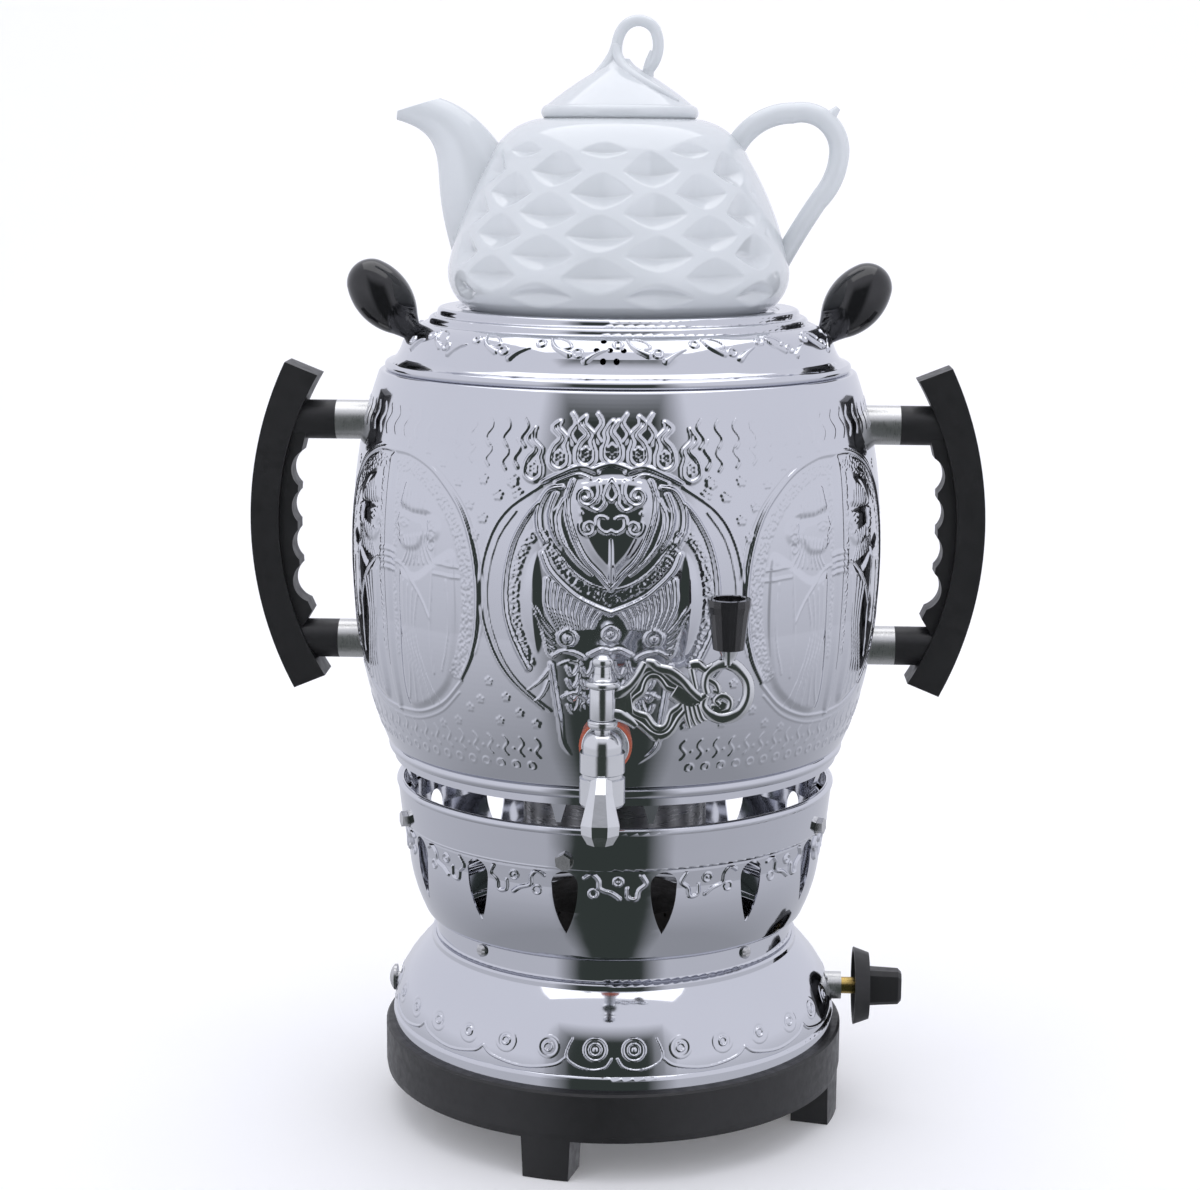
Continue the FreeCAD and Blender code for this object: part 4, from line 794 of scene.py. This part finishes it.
def lens_relief(angle, z):
    # V-cut notches in staggered rows, deepest along a level crease.
    deep = np.zeros(np.broadcast(angle, z).shape)
    pitch = 360.0 / POT_FACES
    for shift, first in ((0.0, 394.8), (0.5, 386.4)):
        across = np.mod(angle - POT_TURN - pitch * shift + pitch / 2, pitch) - pitch / 2
        dx = np.abs(across) / np.interp(z, (440, 448), (LENS_HALF, LENS_HALF * 0.9))
        for row in range(4):
            level = first + LENS_PITCH * row
            dz = z - level
            ends = np.clip(1 - dx ** 1.6, 0, 1)
            # The lowest and the highest row are cut less deep
            full = 0.45 if level > 446 else 0.7 if level < 388 else 1.0
            tall = np.where(dz > 0, LENS_ABOVE, LENS_BELOW) * full * ends + 1e-6
            cut = np.clip(1 - np.abs(dz) / tall, 0, 1)
            cut = cut * np.clip(1 - dx ** 1.7, 0, 1) * LENS_DEPTH * full
            deep = np.maximum(deep, cut)
    return -deep


def teapot_skin():
    base, seat = 376.6, 462.0
    profile = outline((0.4, base + 0.8), [
        (62.0, base + 0.8), (62.0, base), (67.0, base),
        ((74.6, 383.4), (77.4, 396.0)),
        ((71.2, 418.0), (58.4, 444.6)),
        ((51.6, 454.4), (36.4, seat)),
        (34.8, seat), (34.4, seat - 2), (30.0, seat - 2), (30.0, 458.2), (36.0, 457.0),
        ((48.6, 450.6), (55.2, 442.6)),
        ((67.6, 416.6), (73.6, 396.4)),
        ((71.0, 387.4), (64.0, base + 4.6)),
        (0.4, base + 4.6)], 26)
    profile = resample(profile, 1.0)
    outside = np.arange(len(profile)) < np.argmax(profile[:, 1])

    def relief(angle, z):
        # The inside follows the notches, so that the wall keeps its thickness. The pot stays
        # smooth at its spout and handle.
        side = np.abs(np.mod(angle + 180, 360) - 180)
        front = np.minimum(side, 180 - side)
        h = lens_relief(angle, z) * np.clip((68 - front) / 10, 0, 1) * fade(z, 380.0, 454.0, 3.0)
        return np.where(outside[:, None], h, -h)

    for piece in turned_skin("teapot_skin", profile, np.linspace(-180, 180, 421), relief, (0,)):
        dress(piece, "porcelain", "teapot", "teapot_foot", "teapot_body", "teapot_shoulder")


# Swept strands

def sweep(points, radii, flat, sides=12):
    # A round or flattened strand along a smooth path, closed at both ends.
    path = smooth_path(np.asarray(points, float))
    size = smooth_path([(r, 0) for r in radii])[:, 0]
    tangent = np.gradient(path, axis=0)
    tangent /= np.linalg.norm(tangent, axis=1)[:, None]
    side = np.cross((0.0, 1.0, 0.0), tangent)
    side /= np.linalg.norm(side, axis=1)[:, None]
    other = np.cross(tangent, side)
    turn = np.linspace(0, 2 * math.pi, sides, endpoint=False)
    rings = [p + r * (np.cos(turn)[:, None] * a + flat * np.sin(turn)[:, None] * b)
             for p, a, b, r in zip(path, side, other, size)]
    verts = np.vstack(rings + [path[:1], path[-1:]])
    start, last = len(path) * sides, (len(path) - 1) * sides
    faces = []
    for j in range(sides):
        k = (j + 1) % sides
        for row in range(0, last, sides):
            faces.append((row + j, row + k, row + sides + k, row + sides + j))
        faces.append((start, k, j))
        faces.append((start + 1, last + j, last + k))
    return verts, faces


def strands(name, slot, body, parts, replaced=()):
    # Several strands as one piece.
    verts, faces, base = [], [], 0
    for points, around in parts:
        verts.append(points)
        faces += [tuple(base + i for i in face) for face in around]
        base += len(points)
    mesh = bpy.data.meshes.new(name)
    mesh.from_pydata((np.vstack(verts) * MM).tolist(), [], faces)
    mesh.polygons.foreach_set("use_smooth", [True] * len(mesh.polygons))
    obj = bpy.data.objects.new(name, mesh)
    bpy.context.collection.objects.link(obj)
    dress(obj, slot, body, *replaced)


LOOP_POINTS = 32


def lever():
    # The tap's cast scroll lever, made of rounded strands over a thin web.
    parts = []

    def strand(points, radii, flat=0.85):
        parts.append(sweep([(x, TAP_Y, z) for x, z in points], radii, flat))

    def loop(radius, wave, thick, flat=0.85, first=0, last=LOOP_POINTS + 1):
        # A four-lobed ring round the lever's eye, or the stretch of it between two of its points.
        ring = []
        for i in range(LOOP_POINTS + 1):
            a = 2 * math.pi * i / LOOP_POINTS
            r = radius + wave * math.cos(4 * (a - math.radians(10)))
            ring.append((22.0 + r * math.cos(a), 227.6 + 1.05 * r * math.sin(a)))
        strand(ring[first:last], [thick] * (last - first), flat)

    loop(8.9, 1.7, 1.7)
    loop(10.6, 1.5, 2.4, 0.5)
    loop(12.4, 1.3, 1.8, 0.85, 2, 32)
    strand([(3.0, 231.0), (7.0, 231.4), (11.0, 234.0), (15.0, 239.4), (17.4, 244.0)],
           [3.0, 2.9, 2.3, 2.2, 1.9])
    strand([(3.0, 222.6), (7.0, 222.0), (11.0, 220.0), (14.0, 217.6)], [3.0, 3.0, 2.5, 2.0])
    strand([(3.0, 226.6), (7.0, 226.8), (12.0, 227.4)], [5.2, 5.4, 6.2], 0.32)
    strand([(17.4, 244.0), (20.0, 243.4), (23.0, 241.6), (27.6, 240.4), (32.4, 237.0),
            (36.4, 232.4), (39.8, 229.8), (42.4, 231.0)], [1.9, 2.4, 2.3, 2.4, 2.5, 2.4, 2.3, 2.0])
    strand([(42.4, 231.0), (41.0, 226.4), (44.6, 222.4), (50.0, 221.4), (55.8, 224.0),
            (59.0, 230.0), (58.8, 236.8), (55.0, 242.0), (51.0, 244.4)],
           [1.8, 2.2, 2.5, 2.7, 2.6, 2.5, 2.5, 2.7, 3.0])
    strand([(44.8, 224.8), (47.4, 223.8), (51.4, 225.0), (52.0, 228.8), (48.8, 230.8),
            (46.0, 228.8), (47.6, 226.8)], [1.3, 1.5, 1.6, 1.7, 1.6, 1.5, 1.6])
    strand([(44.0, 224.6), (48.0, 225.0), (50.0, 228.0)], [2.6, 3.4, 2.4], 0.35)
    strand([(42.8, 237.4), (46.0, 235.4), (47.0, 232.4), (44.8, 232.6)], [1.5, 1.7, 1.5, 1.2])
    strand([(42.4, 231.4), (41.6, 235.4), (42.8, 240.0), (46.8, 243.2), (51.0, 244.6)],
           [2.0, 2.0, 2.1, 2.3, 2.8])
    strand([(35.6, 243.0), (38.6, 243.6), (42.0, 241.6), (45.0, 243.0)], [2.2, 2.3, 1.9, 1.8])
    strand([(36.0, 242.0), (36.8, 238.0), (38.0, 233.0)], [1.6, 1.6, 1.5])
    for i in range(4):
        strand([(33.4 + 1.7 * i, 227.4), (34.4 + 2.0 * i, 221.8), (35.8 + 2.3 * i, 216.8 + 1.2 * i)],
               [1.9, 1.7, 0.9])
    strand([(29.0, 232.6), (35.0, 229.0), (41.6, 226.6)], [4.4, 4.6, 3.0], 0.4)
    strand([(18.6, 214.6), (22.0, 212.6), (25.0, 214.6)], [1.1, 1.8, 1.1])
    strand([(51.0, 243.6), (51.0, 246.4), (51.0, 250.0)], [2.7, 2.9, 4.4], 1.0)
    strand([(51.0, 250.0), (51.0, 256.0)], [1.8, 1.8], 1.0)
    hub = [(3.45, 219.8), (5.0, 219.8), (5.4, 220.6), (5.4, 232.8), (5.0, 233.6), (3.45, 233.6)]
    angles = np.linspace(0, 2 * math.pi, 41)
    verts = np.array([(r * math.cos(a), TAP_Y + r * math.sin(a), z) for r, z in hub for a in angles])
    faces = [tuple(f) for f in grid_faces(len(hub), len(angles))]
    parts.append((verts, faces))
    strands("lever_scroll", "tap_chrome", "tap_handle", parts, ("tap_lever",))


def seal_washer():
    # The thin plated washer between the tap and its red seal.
    edge = [(7.0, -119.4), (10.1, -119.4), (10.1, -120.0), (9.7, -120.3), (7.0, -120.3),
            (7.0, -119.4)]
    turn = np.linspace(0, 2 * math.pi, 61)
    verts = np.array([(r * math.sin(a), y, TAP_Z + r * math.cos(a)) for r, y in edge for a in turn])
    piece = mesh_object("tap_washer", verts, grid_faces(len(edge), len(turn)), smooth=False)
    dress(piece, "tap_chrome", "samovar")


def pot_finial():
    # The ridge that twists off the loop and dies out across the front of the cone.
    ridge = [(-2.2, -1.2, 495.0), (-0.8, -3.2, 489.4), (2.4, -7.6, 484.2), (8.6, -13.4, 479.6),
             (17.6, -16.8, 474.4), (26.4, -15.0, 469.8)]
    root = [(-1.6, 0.4, 496.0), (-3.0, 0.0, 490.0), (-6.6, -0.6, 483.6), (-12.4, -1.6, 478.6)]
    far = [(14.8, 0.4, 492.0), (13.2, 0.2, 486.4), (12.2, 0.0, 480.0)]
    parts = [sweep(ridge, [1.9, 2.3, 2.4, 2.3, 1.9, 0.9], 0.8, sides=16),
             sweep(root, [2.1, 2.8, 3.3, 2.4], 1.0, sides=16),
             sweep(far, [1.6, 2.3, 2.8], 1.0, sides=16)]
    strands("lid_tendril", "porcelain", "teapot_cover", parts)


skirt_ornament()
bowl_ornament()
lid_ornament()
teapot_skin()
pot_finial()
seal_washer()
lever()


# Stage, light and camera

FLOOR_BEND = 1.2                    # metres: the floor's flat half, and the bend's radius
WALL_TOP = 4.0
FLOOR_HALF_WIDTH = 6.0
WORLD_DARK, WORLD_PALE = (0.045, 0.055, 0.05), (0.84, 0.85, 0.93)
LIGHT_AIM = np.array((0, 0, 0.25))


def stage():
    # The floor bends up into a plain wall at the back, and into another behind the camera.
    bend = [(FLOOR_BEND + FLOOR_BEND * math.sin(a), FLOOR_BEND - FLOOR_BEND * math.cos(a))
            for a in (math.radians(step) for step in range(0, 91, 10))]
    bend.append((2 * FLOOR_BEND, WALL_TOP))
    line = [(-y, z) for y, z in reversed(bend)] + bend
    verts = [(x, y, z - 0.0002) for y, z in line for x in (-FLOOR_HALF_WIDTH, FLOOR_HALF_WIDTH)]
    faces = [(2 * i, 2 * i + 1, 2 * i + 3, 2 * i + 2) for i in range(len(line) - 1)]
    floor = mesh_object("floor", np.array(verts) / MM, faces)
    material, tree, shader = new_material("floor_paper")
    tree.links.new(tint(tree, noise(tree, 3.0), (0.86, 0.86, 0.87), (0.90, 0.90, 0.91)),
                   shader.inputs["Base Color"])
    shader.inputs["Roughness"].default_value = 0.7
    shader.inputs["Emission Color"].default_value = (1.0, 1.0, 1.0, 1.0)
    shader.inputs["Emission Strength"].default_value = 0.10
    floor.data.materials.append(material)
    floor.visible_glossy = False

    world = bpy.data.worlds.new("studio")
    bpy.context.scene.world = world
    world.use_nodes = True
    tree = world.node_tree
    tree.nodes.clear()
    out = tree.nodes.new("ShaderNodeOutputWorld")
    sky = tree.nodes.new("ShaderNodeBackground")
    tree.links.new(sky.outputs["Background"], out.inputs["Surface"])
    sky.inputs["Strength"].default_value = 1.0
    where = tree.nodes.new("ShaderNodeTexCoord")
    split = tree.nodes.new("ShaderNodeSeparateXYZ")
    tree.links.new(where.outputs["Generated"], split.inputs["Vector"])

    def math_node(operation, a, b=None):
        node = tree.nodes.new("ShaderNodeMath")
        node.operation = operation
        for socket, value in zip(node.inputs, (a, b)):
            if value is None:
                continue
            if isinstance(value, (int, float)):
                socket.default_value = value
            else:
                tree.links.new(value, socket)
        return node.outputs[0]

    # Pale walls over a darker ground, with a dim gap behind the camera.
    aside = math_node("ABSOLUTE", math_node("ARCTAN2", split.outputs["X"],
                                            math_node("MULTIPLY", split.outputs["Y"], -1.0)))
    gap = ramp(tree, aside, 0.0, 1.0, 0.34, 0.62)
    high = ramp(tree, split.outputs["Z"], 0.0, 1.0, 0.45, 0.75)
    ground = ramp(tree, split.outputs["Z"], 0.42, 1.0, -0.75, -0.02)
    pale = math_node("MULTIPLY", math_node("MAXIMUM", gap, high), ground)
    tree.links.new(tint(tree, pale, WORLD_DARK, WORLD_PALE), sky.inputs["Color"])


def soft_box(name, location, size, watts, shiny):
    light = bpy.data.lights.new(name, "AREA")
    light.shape = "RECTANGLE"
    light.size, light.size_y = size
    light.energy = watts
    lamp = bpy.data.objects.new(name, light)
    bpy.context.collection.objects.link(lamp)
    lamp.location = location
    lamp.visible_glossy = shiny
    away = np.array(location) - LIGHT_AIM
    flat = math.hypot(away[0], away[1])
    lamp.rotation_euler = (math.atan2(flat, away[2]), 0, math.atan2(away[0], -away[1]))


# The camera as fitted to the photo: metres and radians, and pixels of a frame 1200 wide
FOCAL_PX = 2482.0
FRAME_PX = 1200.0
SENSOR_WIDTH = 36.0
CAMERA_TURN = math.radians(2.0)
CAMERA_AWAY = 1.138
CAMERA_UP = 0.453
CAMERA_PITCH = math.radians(10.40)
CAMERA_ROLL = math.radians(0.418)
AXIS_OFFSET_PX = 16.3


def camera():
    data = bpy.data.cameras.new("camera")
    data.sensor_fit = "HORIZONTAL"
    data.sensor_width = SENSOR_WIDTH
    data.lens = FOCAL_PX / FRAME_PX * SENSOR_WIDTH
    data.shift_x = -AXIS_OFFSET_PX / FRAME_PX
    eye = bpy.data.objects.new("camera", data)
    bpy.context.collection.objects.link(eye)
    eye.location = (CAMERA_AWAY * math.sin(CAMERA_TURN), -CAMERA_AWAY * math.cos(CAMERA_TURN),
                    CAMERA_UP)
    turn = (Matrix.Rotation(CAMERA_TURN, 3, "Z")
            @ Matrix.Rotation(math.pi / 2 - CAMERA_PITCH, 3, "X")
            @ Matrix.Rotation(CAMERA_ROLL, 3, "Z"))
    eye.rotation_euler = turn.to_euler("XYZ")
    bpy.context.scene.camera = eye


stage()
soft_box("key_left", (-1.6, -1.5, 1.5), (1.2, 1.6), 4.5, False)
soft_box("key_right", (1.7, -1.3, 1.3), (1.1, 1.6), 3.0, False)
soft_box("top", (0, 0.3, 2.4), (2.4, 2.4), 18.0, True)
camera()
bpy.context.scene.view_settings.view_transform = "Standard"
